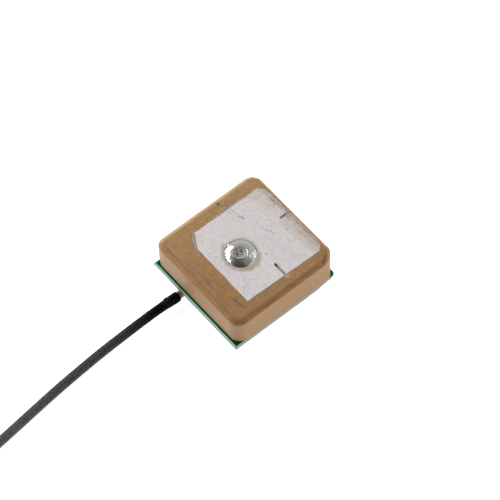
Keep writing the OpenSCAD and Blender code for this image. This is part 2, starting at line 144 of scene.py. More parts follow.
class Build:
    """Vertices, faces and material slots of one piece, in mm."""

    def __init__(self):
        self.v, self.f, self.s = [], [], []

    def add(self, points):
        first = len(self.v)
        self.v.extend(tuple(float(c) for c in p) for p in points)
        return list(range(first, len(self.v)))

    def band(self, a, b, slot=0, closed=True):
        n = len(a)
        for k in range(n if closed else n - 1):
            m = (k + 1) % n
            self.f.append((a[k], a[m], b[m], b[k]))
            self.s.append(slot)

    def fan(self, ring, centre, slot=0):
        for k in range(len(ring)):
            self.f.append((ring[k], ring[(k + 1) % len(ring)], centre))
            self.s.append(slot)

    def cap(self, loops, extra, z, slot=0, hole=None):
        """A flat face between its loops, with extra points inside it."""
        ids = [i for loop in loops for i in loop]
        pts = [Vector(self.v[i][:2]) for i in ids]
        edges, at = [], 0
        for loop in loops:
            n = len(loop)
            edges += [(at + k, at + (k + 1) % n) for k in range(n)]
            at += n
        new = self.add([(x, y, z) for x, y in extra])
        ids += new
        pts += [Vector((x, y)) for x, y in extra]
        out = delaunay_2d_cdt(pts, edges, [], 1, 1e-6)
        back = [o[0] if o else None for o in out[3]]
        for tri in out[2]:
            if any(back[i] is None for i in tri):
                continue
            c = sum((out[0][i] for i in tri), Vector((0, 0))) / len(tri)
            if hole and math.hypot(c.x - hole[0], c.y - hole[1]) < hole[2]:
                continue
            self.f.append(tuple(ids[back[i]] for i in tri))
            self.s.append(slot)
        return new

    def done(self, name, mats, smooth_faces=True, normals=True):
        me = bpy.data.meshes.new(name)
        me.from_pydata([(x * MM, y * MM, z * MM) for x, y, z in self.v],
                       [], self.f)
        for m in mats:
            me.materials.append(m)
        me.polygons.foreach_set("material_index", self.s)
        me.polygons.foreach_set("use_smooth", [smooth_faces] * len(self.f))
        if normals:
            bm = bmesh.new()
            bm.from_mesh(me)
            bmesh.ops.recalc_face_normals(bm, faces=bm.faces)
            bm.to_mesh(me)
            bm.free()
        me.update()
        o = bpy.data.objects.new(name, me)
        scene.collection.objects.link(o)
        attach(o, "root")
        return o


def paint(o, name, values):
    a = o.data.attributes.new(name, "FLOAT", "POINT")
    a.data.foreach_set("value", np.asarray(values, np.float32))


def outline(cx, cy, x, y, radii, step):
    """Points and outward normals round a rectangle with its own radius at
    each corner (+X+Y, -X+Y, -X-Y, +X-Y), anticlockwise."""
    P, N = [], []
    signs = ((1, 1), (-1, 1), (-1, -1), (1, -1))
    centres = [np.array((cx + sx * (x / 2 - r), cy + sy * (y / 2 - r)))
               for (sx, sy), r in zip(signs, radii)]
    for k in range(4):
        c, r = centres[k], radii[k]
        m = max(3, round(r * math.pi / 2 / step))
        for q in range(m + 1):
            a = math.radians(90 * k + 90 * q / m)
            n = np.array((math.cos(a), math.sin(a)))
            P.append(c + r * n)
            N.append(n)
        a = math.radians(90 * (k + 1))
        n = np.array((math.cos(a), math.sin(a)))
        p, q = P[-1], centres[(k + 1) % 4] + radii[(k + 1) % 4] * n
        m = max(1, round(np.linalg.norm(q - p) / step))
        for t in range(1, m):
            P.append(p + (q - p) * t / m)
            N.append(n)
    return np.array(P), np.array(N)


def curve3(p, c, q, n):
    """Points of a rounded corner from p by way of c to q."""
    p, c, q = np.array(p, float), np.array(c, float), np.array(q, float)
    return [tuple((1 - t) ** 2 * p + 2 * t * (1 - t) * c + t * t * q)
            for t in np.linspace(0, 1, n)]


def resample(points, step):
    """A closed line at even steps, with its outward normals."""
    pts = np.array(points, float)
    out = []
    for a, b in zip(pts, np.roll(pts, -1, axis=0)):
        m = max(1, round(np.linalg.norm(b - a) / step))
        out += [a + (b - a) * t / m for t in range(m)]
    out = np.array(out)
    t = np.roll(out, -1, axis=0) - np.roll(out, 1, axis=0)
    t /= np.maximum(np.linalg.norm(t, axis=1), 1e-9)[:, None]
    return out, np.column_stack([t[:, 1], -t[:, 0]])


def grid(x0, x1, y0, y1, step, jitter=0.25, seed=3):
    xs, ys = np.meshgrid(np.arange(x0, x1, step), np.arange(y0, y1, step))
    xs[1::2] += step / 2
    r = np.random.RandomState(seed)
    P = np.column_stack([xs.ravel(), ys.ravel()])
    return P + (r.rand(*P.shape) - 0.5) * step * jitter


# --------------------------------------------------------------- materials

class Mat:
    """One procedural material; every texture is fixed to the object."""

    def __init__(self, name, base, rough, metal=0.0, **sockets):
        self.m = bpy.data.materials.new(name)
        self.m.use_nodes = True
        self.t = self.m.node_tree
        self.b = self.t.nodes["Principled BSDF"]
        self.b.inputs["Base Color"].default_value = (*base, 1)
        self.b.inputs["Roughness"].default_value = rough
        self.b.inputs["Metallic"].default_value = metal
        for key, value in sockets.items():
            self.b.inputs[key.replace("_", " ")].default_value = value
        self.pos = self.t.nodes.new("ShaderNodeTexCoord").outputs["Object"]

    def node(self, kind, inputs, **props):
        n = self.t.nodes.new("ShaderNode" + kind)
        for key, value in props.items():
            setattr(n, key, value)
        for key, value in inputs.items():
            if isinstance(value, bpy.types.NodeSocket):
                self.t.links.new(value, n.inputs[key])
            else:
                n.inputs[key].default_value = value
        return n

    def stretch(self, x=1, y=1, z=1, at=(0, 0, 0)):
        return self.node("Mapping", {"Vector": self.pos, "Location": at,
                                     "Scale": (x, y, z)}).outputs[0]

    def noise(self, mm, detail=3, rough=0.55, vector=None, distort=0.0):
        """Noise whose features are about this many mm across."""
        return self.node("TexNoise", {
            "Vector": vector or self.pos, "Scale": 1 / (mm * MM),
            "Detail": detail, "Roughness": rough,
            "Distortion": distort}).outputs["Fac"]

    def cells(self, mm, feature="F1", vector=None):
        return self.node("TexVoronoi", {
            "Vector": vector or self.pos, "Scale": 1 / (mm * MM)},
            feature=feature).outputs["Distance"]

    def range(self, value, a, b, c=0.0, d=1.0):
        return self.node("MapRange", {
            "Value": value, "From Min": a, "From Max": b,
            "To Min": c, "To Max": d}).outputs[0]

    def calc(self, op, a, b=0.0):
        return self.node("Math", {0: a, 1: b}, operation=op).outputs[0]

    def attr(self, name):
        n = self.t.nodes.new("ShaderNodeAttribute")
        n.attribute_name = name
        return n.outputs["Fac"]

    def mix(self, fac, a, b, blend="MIX"):
        n = self.node("Mix", {}, data_type="RGBA", blend_type=blend)
        for k, v in ((0, fac), (6, a), (7, b)):
            if isinstance(v, bpy.types.NodeSocket):
                self.t.links.new(v, n.inputs[k])
            elif k == 0:
                n.inputs[0].default_value = v
            else:
                n.inputs[k].default_value = (*v, 1)
        return n.outputs[2]

    def axis(self, k):
        return self.node("SeparateXYZ", {"Vector": self.pos}).outputs[k]

    def link(self, socket, value):
        self.t.links.new(value, self.b.inputs[socket])

    def bump(self, height, mm, strength=1.0):
        n = self.node("Bump", {"Height": height, "Distance": mm * MM,
                               "Strength": strength})
        old = self.b.inputs["Normal"].links
        if old:
            self.t.links.new(old[0].from_socket, n.inputs["Normal"])
        self.link("Normal", n.outputs[0])


def srgb(r, g, b):
    """A colour from its usual 0 to 255 numbers."""
    return tuple(c / 255 / 12.92 if c / 255 <= 0.04045
                 else ((c / 255 + 0.055) / 1.055) ** 2.4 for c in (r, g, b))


def times(c, k):
    return tuple(v * k for v in c)

# --------------------------------------------------------- light and floor

def sky():
    world = bpy.data.worlds.new("sky")
    scene.world = world
    world.use_nodes = True
    t = world.node_tree
    bg = t.nodes["Background"]
    way = t.nodes.new("ShaderNodeTexCoord").outputs["Generated"]

    def blob(direction, inner, outer, value, old):
        """Mixes a soft round patch of sky in at a fixed direction."""
        dot = t.nodes.new("ShaderNodeVectorMath")
        dot.operation = "DOT_PRODUCT"
        t.links.new(way, dot.inputs[0])
        dot.inputs[1].default_value = Vector(direction).normalized()
        r = t.nodes.new("ShaderNodeMapRange")
        r.interpolation_type = "SMOOTHSTEP"
        t.links.new(dot.outputs["Value"], r.inputs["Value"])
        r.inputs["From Min"].default_value = math.cos(math.radians(outer))
        r.inputs["From Max"].default_value = math.cos(math.radians(inner))
        m = t.nodes.new("ShaderNodeMix")
        m.data_type = "RGBA"
        t.links.new(r.outputs[0], m.inputs[0])
        if isinstance(old, tuple):
            m.inputs[6].default_value = (*old, 1)
        else:
            t.links.new(old, m.inputs[6])
        m.inputs[7].default_value = (*value, 1)
        return m.outputs[2]

    c = blob((-0.40, 0.32, 0.86), 11, 44, SKY_TOP, SKY)
    c = blob((0.90, 0.30, 0.10), 15, 55, SKY_SIDE, c)
    c = blob((0.05, 0.86, 0.50), 5, 20, SKY_BACK, c)
    c = blob((0.16, -0.17, 0.97), 29, 47, SKY_HALF, c)
    c = blob((0.261, -0.312, 0.914), 8, 33, SKY_DARK, c)
    t.links.new(c, bg.inputs["Color"])
    bg.inputs["Strength"].default_value = 1.0


def softbox(name, direction, along, distance, width, height, power):
    data = bpy.data.lights.new(name, "AREA")
    data.shape = "RECTANGLE"
    data.size, data.size_y = width, height
    data.energy = power
    o = bpy.data.objects.new(name, data)
    d = Vector(direction).normalized()
    o.location = d * distance
    x = Vector(along)
    x = (x - d * x.dot(d)).normalized()
    y = d.cross(x)
    o.rotation_euler = Matrix((x, y, d)).transposed().to_euler()
    scene.collection.objects.link(o)


SKY = (0.635, 0.635, 0.635)
SKY_TOP = (0.42, 0.42, 0.42)
SKY_SIDE = (1.25, 1.25, 1.25)
SKY_BACK = (0.85, 0.85, 0.85)
SKY_HALF = (0.28, 0.28, 0.28)
SKY_DARK = (0.080, 0.080, 0.085)
sky()
softbox("key", (-0.7506, -0.1337, 0.6474), (0.3324, -0.9149, 0.2289), 0.9, 0.850, 0.215,
        5.2)
softbox("low", (-0.42, -0.56, 0.715), (0.134, -0.2275, -0.112), 0.9, 0.24, 0.12, 0.26)
softbox("edge", (0.08, 0.69, 0.72), (0.13, -0.15, 0.12), 0.9, 0.25, 0.09, 0.075)

white = Mat("white_floor", (0.85, 0.85, 0.85), 0.8)
white.b.inputs["Emission Color"].default_value = (1, 1, 1, 1)
white.b.inputs["Emission Strength"].default_value = 0.75
white.b.inputs["Specular IOR Level"].default_value = 0.1
b = Build()
b.add([(-3000, -3000, 0), (3000, -3000, 0), (3000, 3000, 0), (-3000, 3000, 0)])
b.f, b.s = [(0, 1, 2, 3)], [0]
me = bpy.data.meshes.new("floor")
me.from_pydata([(x * MM, y * MM, -0.00001) for x, y, z in b.v], [], b.f)
me.materials.append(white.m)
floor = bpy.data.objects.new("floor", me)
scene.collection.objects.link(floor)

# --------------------------------------------------------- ceramic block

FEED = (0.0, -0.75)
HEAD = (FEED[0] + 0.12, FEED[1] - 0.18)
MOUND = (FEED[0] + 0.10, FEED[1])
BLOCK_Z, TOP_Z0, SILVER_Z = 2.70, 6.70, 6.73

CERAMIC_TOP = (0.368, 0.191, 0.062)
CERAMIC_SIDE = (0.337, 0.193, 0.087)


def ceramic_material():
    m = Mat("fired_ceramic", CERAMIC_TOP, 0.5, Specular_IOR_Level=0.35)
    broad = m.noise(1.6, 3, 0.6)
    fine = m.noise(0.28, 4, 0.65)
    grain = m.noise(0.07, 2, 0.6)
    streak = m.noise(0.55, 4, 0.6, m.stretch(1, 1, 0.12))
    top = m.mix(m.range(broad, 0.35, 0.65), times(CERAMIC_TOP, 0.87),
                (CERAMIC_TOP[0] * 1.12, CERAMIC_TOP[1] * 1.12,
                 CERAMIC_TOP[2] * 1.17))
    side = m.mix(m.range(streak, 0.32, 0.68), times(CERAMIC_SIDE, 0.935),
                 (CERAMIC_SIDE[0] * 1.055, CERAMIC_SIDE[1] * 1.075,
                  CERAMIC_SIDE[2] * 1.12))
    pink = m.range(m.noise(0.9, 3, 0.6, m.stretch(1, 1, 0.5, (0.003, 0, 0))),
                   0.45, 0.7, 0, 0.26)
    side = m.mix(pink, side, (0.36, 0.215, 0.125))
    side = m.mix(m.range(m.axis(1), -6.7 * MM, -7.2 * MM, 0, 0.75), side,
                 (0.317, 0.177, 0.079))
    side = m.mix(m.range(m.axis(0), -2.5 * MM, -6.5 * MM, 0, 0.85), side,
                 (0.385, 0.235, 0.128))
    side = m.mix(m.range(m.axis(0), 7.0 * MM, 7.3 * MM, 0, 0.72), side,
                 (0.340, 0.181, 0.066))
    side = m.mix(m.range(m.axis(1), 2 * MM, 7 * MM, 0, 0.6), side,
                 (0.365, 0.205, 0.088))
    # upright grain on the +X side
    upright = m.noise(0.20, 3, 0.6, m.stretch(1, 1, 0.10, (0.05, 0, 0)))
    here = m.range(m.axis(0), 7.0 * MM, 7.3 * MM)
    side = m.mix(m.calc("MULTIPLY", m.range(upright, 0.50, 0.68, 0, 0.30), here),
                 side, (0.44, 0.265, 0.145))
    side = m.mix(m.calc("MULTIPLY", m.range(upright, 0.32, 0.50, 0.30, 0), here),
                 side, (0.25, 0.135, 0.056))
    top = m.mix(m.range(m.axis(1), -7 * MM, 7 * MM, 0, 0.28), top,
                (0.45, 0.27, 0.115))
    top = m.mix(m.range(m.axis(0), 0 * MM, -7.2 * MM, 0, 0.72), top,
                (0.47, 0.285, 0.120))
    top = m.mix(m.calc("MULTIPLY", m.range(m.axis(0), 0 * MM, -7 * MM),
                       m.range(m.axis(1), 1 * MM, 7 * MM, 0, 0.75)), top,
                (0.52, 0.32, 0.145))
    col = m.mix(m.attr("side"), top, side)
    mid = m.noise(0.62, 3, 0.6, m.stretch(1, 1, 1, (0.02, 0.01, 0)))
    pepper = m.noise(0.13, 3, 0.7)
    col = m.mix(m.range(mid, 0.50, 0.70, 0, 0.6), col, (0.42, 0.21, 0.065))
    calm = m.range(m.attr("side"), 0, 1, 1.0, 0.45)
    col = m.mix(m.calc("MULTIPLY", m.range(mid, 0.32, 0.50, 0.55, 0), calm), col,
                (0.24, 0.125, 0.048))
    col = m.mix(m.calc("MULTIPLY", m.range(fine, 0.32, 0.60, 0.42, 0), calm), col,
                (0.18, 0.09, 0.030))
    mild = m.range(m.attr("side"), 0, 1, 0.60, 0.36)
    col = m.mix(m.calc("MULTIPLY", m.range(pepper, 0.30, 0.58, 0.45, 0), mild), col,
                (0.17, 0.09, 0.035))
    col = m.mix(m.calc("MULTIPLY", m.range(pepper, 0.50, 0.74, 0.0, 0.50), mild), col,
                (0.56, 0.36, 0.17))
    dots = m.range(m.cells(0.55, vector=m.stretch(1, 1, 1, (0.04, 0.01, 0))),
                   0.0, 0.14, 0.7, 0)
    few = m.range(m.noise(0.7, 2, 0.5, m.stretch(1, 1, 1, (0.06, 0, 0))), 0.52, 0.58)
    col = m.mix(m.calc("MULTIPLY", dots, few), col, (0.14, 0.065, 0.028))
    col = m.mix(m.range(grain, 0.3, 0.75, 0.0, 0.16), col, (0.46, 0.33, 0.2))
    spots = m.range(m.cells(0.75, vector=m.stretch(1, 1, 1, (0, 0.03, 0))),
                    0.0, 0.17, 0.75, 0)
    where = m.range(m.noise(0.9, 2, 0.5, m.stretch(1, 1, 1, (0.03, 0, 0))),
                    0.46, 0.56)
    col = m.mix(m.calc("MULTIPLY", spots, where), col, (0.15, 0.07, 0.03))
    pores = m.range(m.cells(0.42), 0.0, 0.16, 0.55, 0)
    rare = m.range(m.noise(1.1, 2, 0.5, m.stretch(1, 1, 1, (0.01, 0, 0))),
                   0.52, 0.62)
    col = m.mix(m.calc("MULTIPLY", pores, rare), col, (0.13, 0.07, 0.035))
    # painted highlight on the bevel
    col = m.mix(m.attr("painted_bevel_light"), col, (0.54, 0.345, 0.175))
    col = m.mix(m.attr("turned"), col, (0.50, 0.262, 0.138))
    col = m.mix(m.attr("rust"), col, (0.285, 0.122, 0.034))
    col = m.mix(m.attr("brown"), col, (0.13, 0.055, 0.018))
    crumbs = m.mix(m.range(pepper, 0.40, 0.62), (0.22, 0.18, 0.15),
                   (0.58, 0.53, 0.49))
    col = m.mix(m.attr("residue"), col, crumbs)
    col = m.mix(m.attr("dark"), col, (0.078, 0.048, 0.032))
    col = m.mix(m.attr("pale"), col, (0.58, 0.48, 0.38))
    m.link("Base Color", col)
    m.link("Roughness", m.range(fine, 0.3, 0.7, 0.42, 0.6))
    m.bump(grain, 0.012, 0.5)
    m.bump(fine, 0.02, 0.5)
    return m.m


def ceramic():
    P, N = outline(0, 0.1, 15, 15, (1.8, 1.3, 1.22, 1.3), 0.13)
    n = len(P)
    c, s = 0.7557, 0.6549                 # along the bevel: in, up
    rings = curve3((0.10, 0), (0, 0), (0, 0.12), 4)
    rings += [(0, h) for h in np.linspace(0.35, 3.2, 11)]
    rings += curve3((0, 3.46), (0, 3.61), (0.13 * c, 3.61 + 0.13 * s), 6)
    rings += [(0.45 * t, 3.61 + 0.39 * t) for t in (0.45, 0.62)]
    rings += curve3((0.45 - 0.12 * c, 4 - 0.12 * s), (0.45, 4), (0.57, 4), 6)
    b = Build()
    ids, meta = [], []
    swell = 0.12 * smooth(0.4, 0.9, -N[:, 0]) + 0.085 * smooth(0.75, 0.98, N[:, 1])
    swell = swell - 0.045 * smooth(0.3, 0.6, N[:, 0]) * smooth(0.3, 0.6, N[:, 1])
    blunt = 1 - smooth(1.0, 2.4, np.hypot(P[:, 0] - 7.5, P[:, 1] - 7.6))
    # the far right corner is tighter low down than at the top
    tight = 0.12 * np.exp(-((np.arctan2(N[:, 1], N[:, 0]) - 0.40) / 0.24) ** 2)
    for inset, h in rings:
        squat = 1 - 0.4 * blunt * (3.3 < h < 4)
        p = P + N * (swell + tight * (1 - smooth(0.3, 2.6, h))
                     - inset * squat)[:, None]
        x, y = p[:, 0], p[:, 1]
        wave = 0.035 * (fbm(x * 0.45 + h * 0.7, y * 0.45 - h * 0.5, 21, 3) - 0.5)
        rough = 0.018 * (fbm(x * 3.1 + h * 2.1, y * 3.1 - h * 1.7, 25, 3) - 0.5)
        lip = smooth(3.3, 3.62, h) * (1 - smooth(3.97, 4.0, h))
        chip = smooth(0.66, 0.8, fbm(x * 1.7 + 9, y * 1.7, 31, 2)) * 0.018 * lip
        move = wave * min(1, h / 0.5) + rough * (0.4 + 1.2 * lip) - 0.012 - chip
        if h >= 4:
            move = move * 0.4
        p = p + N * move[:, None]
        tall = 4 - (4 - h) * squat
        ids.append(b.add(np.column_stack([p, BLOCK_Z + tall])))
        meta += [(inset, h)] * n
    for a, d in zip(ids[:-1], ids[1:]):
        b.band(a, d)
    # the pin's hole, through
    angle = np.linspace(0, 2 * np.pi, 49)[:-1]
    hole = np.column_stack([FEED[0] + 0.6 * np.cos(angle),
                            FEED[1] + 0.6 * np.sin(angle)])
    low = b.add(np.column_stack([hole, np.full(48, BLOCK_Z)]))
    high = b.add(np.column_stack([hole, np.full(48, TOP_Z0)]))
    b.band(high, low)
    edge = np.array([b.v[i][:2] for i in ids[-1]])
    fine = grid(-7, 7, -6.9, 7.1, 0.085)
    under = (np.abs(fine[:, 0]) < 5.2) & (fine[:, 1] > -2.9) & (fine[:, 1] < 6.0)
    slit = ((fine[:, 0] > 3.4) & (np.abs(fine[:, 1] - 1.4) < 0.5)) | \
        ((fine[:, 1] > 5.4) & (np.abs(fine[:, 0] + 0.6) < 0.5))
    fine = fine[~under | slit]
    coarse = grid(-5.2, 5.2, -2.9, 6.0, 0.5)
    off = np.hypot(coarse[:, 0] - FEED[0], coarse[:, 1] - FEED[1]) > 0.75
    extra = np.vstack([fine, coarse[off]])
    extra = extra[inside(extra, edge) & (near(extra, list(edge[::3]) + [edge[0]]) > 0.04)]
    b.cap([ids[-1], high], extra, TOP_Z0, hole=(*FEED, 0.6))
    b.cap([ids[0], low], grid(-6.8, 6.8, -6.8, 7, 1.2), BLOCK_Z, hole=(*FEED, 0.6))
    o = b.done("ceramic_body", [ceramic_material()])
    V = np.array(b.v)
    xy, h = V[:, :2], V[:, 2] - BLOCK_Z
    side = 1 - smooth(3.45, 3.66, h + 0.03 * smooth(6.6, 7.1, V[:, 0]))
    # the bevel is as pale as the sides where it turns the far right corner
    turned = smooth(5.7, 6.2, V[:, 1]) * smooth(6.0, 6.5, V[:, 0])
    side = np.maximum(side, 0.85 * turned * (h < 3.97))
    paint(o, "side", side)
    bevel = smooth(3.55, 3.7, h)
    paint(o, "turned", 0.8 * turned * bevel * (h < 3.97))
    # how far inside the flat top's edge a point lies
    flat = near(xy, list(edge[::3]) + [edge[0]])
    on_edge = np.where(h < 3.995, 1.0, 1 - smooth(0.0, 0.36, flat))
    n1 = fbm(V[:, 0] * 1.1, V[:, 1] * 1.1, 41, 4)
    n2 = fbm(V[:, 0] * 4.5, V[:, 1] * 4.5, 45, 3)
    right_side = smooth(6.6, 7.1, V[:, 0])
    near_corner = 1 - smooth(0.3, 1.9, np.hypot(V[:, 0] - 7.0, V[:, 1] + 6.9))
    front = smooth(6.3, 6.9, -V[:, 1])
    low_end = 0.26 * (1 - smooth(1.5, 6.5, np.hypot(V[:, 0] - 7.2, V[:, 1] + 7.2)))
    rust = bevel * on_edge * (1 - 0.9 * turned) * np.maximum.reduce([
        0.69 * right_side * (0.6 + 0.8 * n1), 0.80 * near_corner,
        0.30 * front * (0.4 + 1.2 * n1)])
    rust = np.maximum(rust, bevel * low_end)
    paint(o, "rust", np.clip(rust, 0, 0.95))
    left_side, back = smooth(6.7, 7.15, -V[:, 0]), smooth(6.8, 7.2, V[:, 1])
    # painted highlight along the bevel: strong on the -X side, weaker on the +Y side
    painted_bevel_light = smooth(3.5, 3.8, h) * on_edge * np.maximum(left_side, 0.30 * back) \
        * (0.62 + 0.45 * n1)
    paint(o, "painted_bevel_light", np.clip(painted_bevel_light, 0, 1))
    # the inner line of the bevel is the darkest
    line = np.exp(-((flat - 0.05) / 0.11) ** 2) * (h >= 3.9)
    brown = line * right_side * 0.20 * (0.2 + 1.6 * n2)
    brown = np.maximum(brown, bevel * on_edge * 0.34 * near_corner
                       * (0.4 + 1.0 * n2))
    brown = np.maximum(brown, line * front * 0.16 * (0.2 + 1.6 * n2))
    brown = np.maximum(brown, line * back * 0.42 * (0.5 + n2))
    brown = np.maximum(brown, line * left_side * 0.10 * (0.3 + 1.4 * n2))
    inner = (1 - smooth(0.3, 2.2, np.hypot(V[:, 0] - 6.9, V[:, 1] - 6.2))) \
        * (h >= 3.99)
    brown = np.maximum(brown, 0.19 * inner * (0.6 + 0.8 * n1))
    turn = 1 - smooth(0.5, 1.5, np.hypot(V[:, 0] - 7.1, V[:, 1] + 7.0))
    brown = np.maximum(brown, side * turn * 0.24)
    marks = [([(285, 288.5), (289, 285.5), (294, 283.5)], 0.13, 0.36),
             ([(298, 280), (308, 272), (318, 265.5)], 0.07, 0.30),
             ([(222, 211.8), (232, 204.8), (247, 194.3)], 0.06, 0.34),
             ([(262, 306), (268, 303), (276, 298)], 0.16, 0.30),
             ([(236, 320.5), (239, 321)], 0.22, 0.42),
             ([(325, 253), (324.5, 258), (323.5, 262)], 0.16, 0.35),
             ([(322, 262.5), (325, 262), (328, 259)], 0.10, 0.30),
             ([(246, 315), (252, 312)], 0.2, 0.25)]
    brown = np.maximum(brown, strokes(xy, TOP_Z0, marks, 60) * smooth(3.5, 3.7, h))
    paint(o, "brown", np.clip(brown, 0, 0.9))
    marks = [
        # grime along the inner line of the bevel
        ([(168, 249), (171, 252.5), (175, 257)], 0.08, 0.32),
        ([(176, 258), (188, 271), (200, 284)], 0.05, 0.14),
        ([(200, 284), (212, 297), (222, 307)], 0.05, 0.16),
        ([(224, 309), (227, 312), (229, 313.5)], 0.08, 0.45),
        ([(324.6, 256.8), (324.2, 259), (323.2, 261.8)], 0.075, 0.85),
        ([(326.6, 248.5), (325.6, 252), (324.8, 256)], 0.05, 0.42),
        # smudges and residue beside the patch
        ([(217.4, 203.2), (218.8, 204.8)], 0.13, 0.95),
        ([(219, 204.5), (221.5, 206.5), (223, 207)], 0.05, 0.42),
        ([(222, 207.5), (225, 206.5), (228, 204)], 0.06, 0.34),
        ([(225, 208.2), (236, 200.4), (247, 192.6)], 0.05, 0.38),
        ([(208, 210), (214, 208), (220, 210)], 0.03, 0.25),
        ([(192.3, 232.5), (191.5, 238), (193, 244), (194.5, 249)], 0.07, 0.28),
        ([(195.4, 234), (195.3, 239), (196.3, 245)], 0.05, 0.50),
        # scribbles by the lower corner of the patch
        ([(232, 298), (235, 302), (240, 303)], 0.13, 0.40),
        ([(235.5, 299.5), (238, 303), (241, 305.5)], 0.13, 0.56),
        ([(238, 302), (243, 306), (247, 308.5)], 0.09, 0.46),
        ([(234, 304), (239, 307)], 0.08, 0.26),
        ([(236, 296), (239, 300)], 0.08, 0.30),
        # fine scratches along the margin
        ([(192, 268), (203, 277), (211, 287)], 0.045, 0.34),
        ([(201, 274), (207, 280), (213, 288)], 0.05, 0.36),
        ([(183, 262), (196, 276)], 0.035, 0.18),
        ([(178, 240), (190, 252)], 0.03, 0.14),
        ([(214, 293), (226, 303)], 0.03, 0.18),
        ([(176, 234), (186, 228), (205, 217)], 0.03, 0.12),
        ([(221, 284), (223, 287)], 0.10, 0.30),
        ([(189.5, 253), (190.5, 254)], 0.10, 0.45),
        ([(188, 264), (188.5, 267)], 0.09, 0.30),
        ([(187.5, 259.5)], 0.07, 0.25), ([(273, 299.3)], 0.12, 0.88),
        ([(267, 304.4)], 0.10, 0.75), ([(299, 291)], 0.07, 0.3),
        ([(181, 262)], 0.06, 0.3), ([(174, 256)], 0.08, 0.35),
        ([(238, 322.5)], 0.07, 0.25), ([(263, 285)], 0.05, 0.2),
        # dark floors of the two tuning slits
        ([(274.5, 263.7), (276.5, 265.6)], 0.16, 0.88),
        ([(275.6, 266.2), (281, 271.4), (285.5, 275.7)], 0.06, 0.78),
        ([(279.5, 219), (284, 215.5)], 0.15, 0.55),
        ([(279.6, 219.4), (284, 216.4), (289, 213)], 0.07, 0.80),
        ([(284, 215.5), (290, 211)], 0.12, 0.42)]
    dark = strokes(xy, TOP_Z0, marks, 70) * smooth(3.5, 3.75, h)
    paint(o, "dark", np.clip(dark, 0, 1))
    marks = [([(194.5, 236)], 0.07, 0.45), ([(193.5, 241), (195, 243)], 0.07, 0.45),
             ([(196.5, 247), (198, 249)], 0.08, 0.40), ([(231, 322)], 0.12, 0.35),
             ([(286.6, 275.8), (288, 277)], 0.12, 0.40), ([(244, 199)], 0.05, 0.3),
             ([(178, 225), (179, 226)], 0.04, 0.3), ([(304, 271)], 0.05, 0.3),
             ([(293, 214.8), (304, 226), (316, 238)], 0.05, 0.40),
             ([(201, 261.5), (202, 262)], 0.05, 0.4),
             ([(198.5, 255), (199.3, 256)], 0.06, 0.4)]
    paint(o, "pale", np.clip(strokes(xy, TOP_Z0, marks, 90)
                             * smooth(3.5, 3.75, h), 0, 1))
    # crumbs of silver left beside the patch, and on the slits' floors
    marks = [([(215, 217.4), (222, 212.8), (230, 207.0)], 0.15, 0.60),
             ([(230, 206.8), (238, 201.2), (247, 194.8)], 0.18, 0.58),
             ([(220, 211), (225, 207.5), (230, 204)], 0.14, 0.36),
             ([(193.6, 233), (193.2, 240), (195.6, 249.5)], 0.20, 0.64),
             ([(196.5, 249), (200, 254)], 0.10, 0.45),
             ([(278, 267), (282.4, 270.8), (287.4, 275.5)], 0.15, 0.80),
             ([(279.5, 219), (284, 215.5), (290, 211)], 0.17, 0.75),
             ([(283, 277), (287, 277.5), (290, 276)], 0.10, 0.30),
             ([(255, 187), (262, 189), (270, 196), (280, 205)], 0.12, 0.35)]
    crumb = strokes(xy, TOP_Z0, marks, 80) * (0.45 + 1.1 * n2)
    paint(o, "residue", np.clip(crumb * smooth(3.9, 3.99, h), 0, 0.9))
    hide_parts("ceramic_block")


ceramic()

# ----------------------------------------------------------- silver patch

SILVER = srgb(224, 218, 217)


def patch_material():
    m = Mat("fired_silver", SILVER, 0.5, 0.25, Specular_IOR_Level=0.4)
    fine = m.noise(0.22, 5, 0.75)
    grain = m.noise(0.075, 2, 0.6)
    broad = m.noise(2.6, 3, 0.6)
    col = m.mix(m.range(broad, 0.35, 0.65), times(SILVER, 0.965),
                times(SILVER, 1.02))
    col = m.mix(m.range(fine, 0.34, 0.58, 0.36, 0), col, srgb(158, 151, 149))
    col = m.mix(m.range(fine, 0.5, 0.7, 0, 0.22), col, srgb(238, 236, 236))
    col = m.mix(m.range(grain, 0.42, 0.75, 0, 0.42), col, srgb(240, 238, 238))
    col = m.mix(m.range(grain, 0.22, 0.42, 0.36, 0), col, srgb(150, 146, 145))
    # faint crackle lines, here and there
    crack = m.range(m.cells(1.3, "DISTANCE_TO_EDGE",
                            m.stretch(1, 1, 0.01)), 0.0, 0.025, 0.32, 0)
    some = m.range(m.noise(1.5, 2, 0.5, m.stretch(1, 1, 1, (0.02, 0, 0))),
                   0.48, 0.62)
    col = m.mix(m.calc("MULTIPLY", crack, some), col, srgb(128, 122, 120))
    specks = m.range(m.cells(0.5), 0.0, 0.14, 0.85, 0)
    rare = m.range(m.noise(0.8, 2, 0.5, m.stretch(1, 1, 1, (0, 0.02, 0))),
                   0.50, 0.57)
    col = m.mix(m.calc("MULTIPLY", specks, rare), col, srgb(120, 112, 108))
    stain = m.calc("MULTIPLY", m.attr("stain"),
                   m.range(m.noise(0.20, 4, 0.75), 0.30, 0.66, 0.55, 1.45))
    col = m.mix(stain, col, srgb(174, 128, 102))
    grime = m.calc("MULTIPLY", m.attr("grime"),
                   m.range(m.noise(0.16, 4, 0.75), 0.36, 0.58))
    col = m.mix(grime, col, srgb(104, 94, 90))
    col = m.mix(m.attr("halo"), col, srgb(163, 146, 104))
    # painted shade along the patch's edge
    col = m.mix(m.attr("rim"), col, srgb(128, 118, 112))
    col = m.mix(m.attr("lip"), col, srgb(238, 232, 226))
    col = m.mix(m.attr("mark"), col, srgb(88, 80, 76))
    m.link("Base Color", col)
    m.link("Roughness", m.range(fine, 0.3, 0.7, 0.42, 0.6))
    m.bump(grain, 0.008, 0.6)
    m.bump(fine, 0.012, 0.5)
    m.bump(m.attr("mark"), 0.02, -0.6)
    return m.m


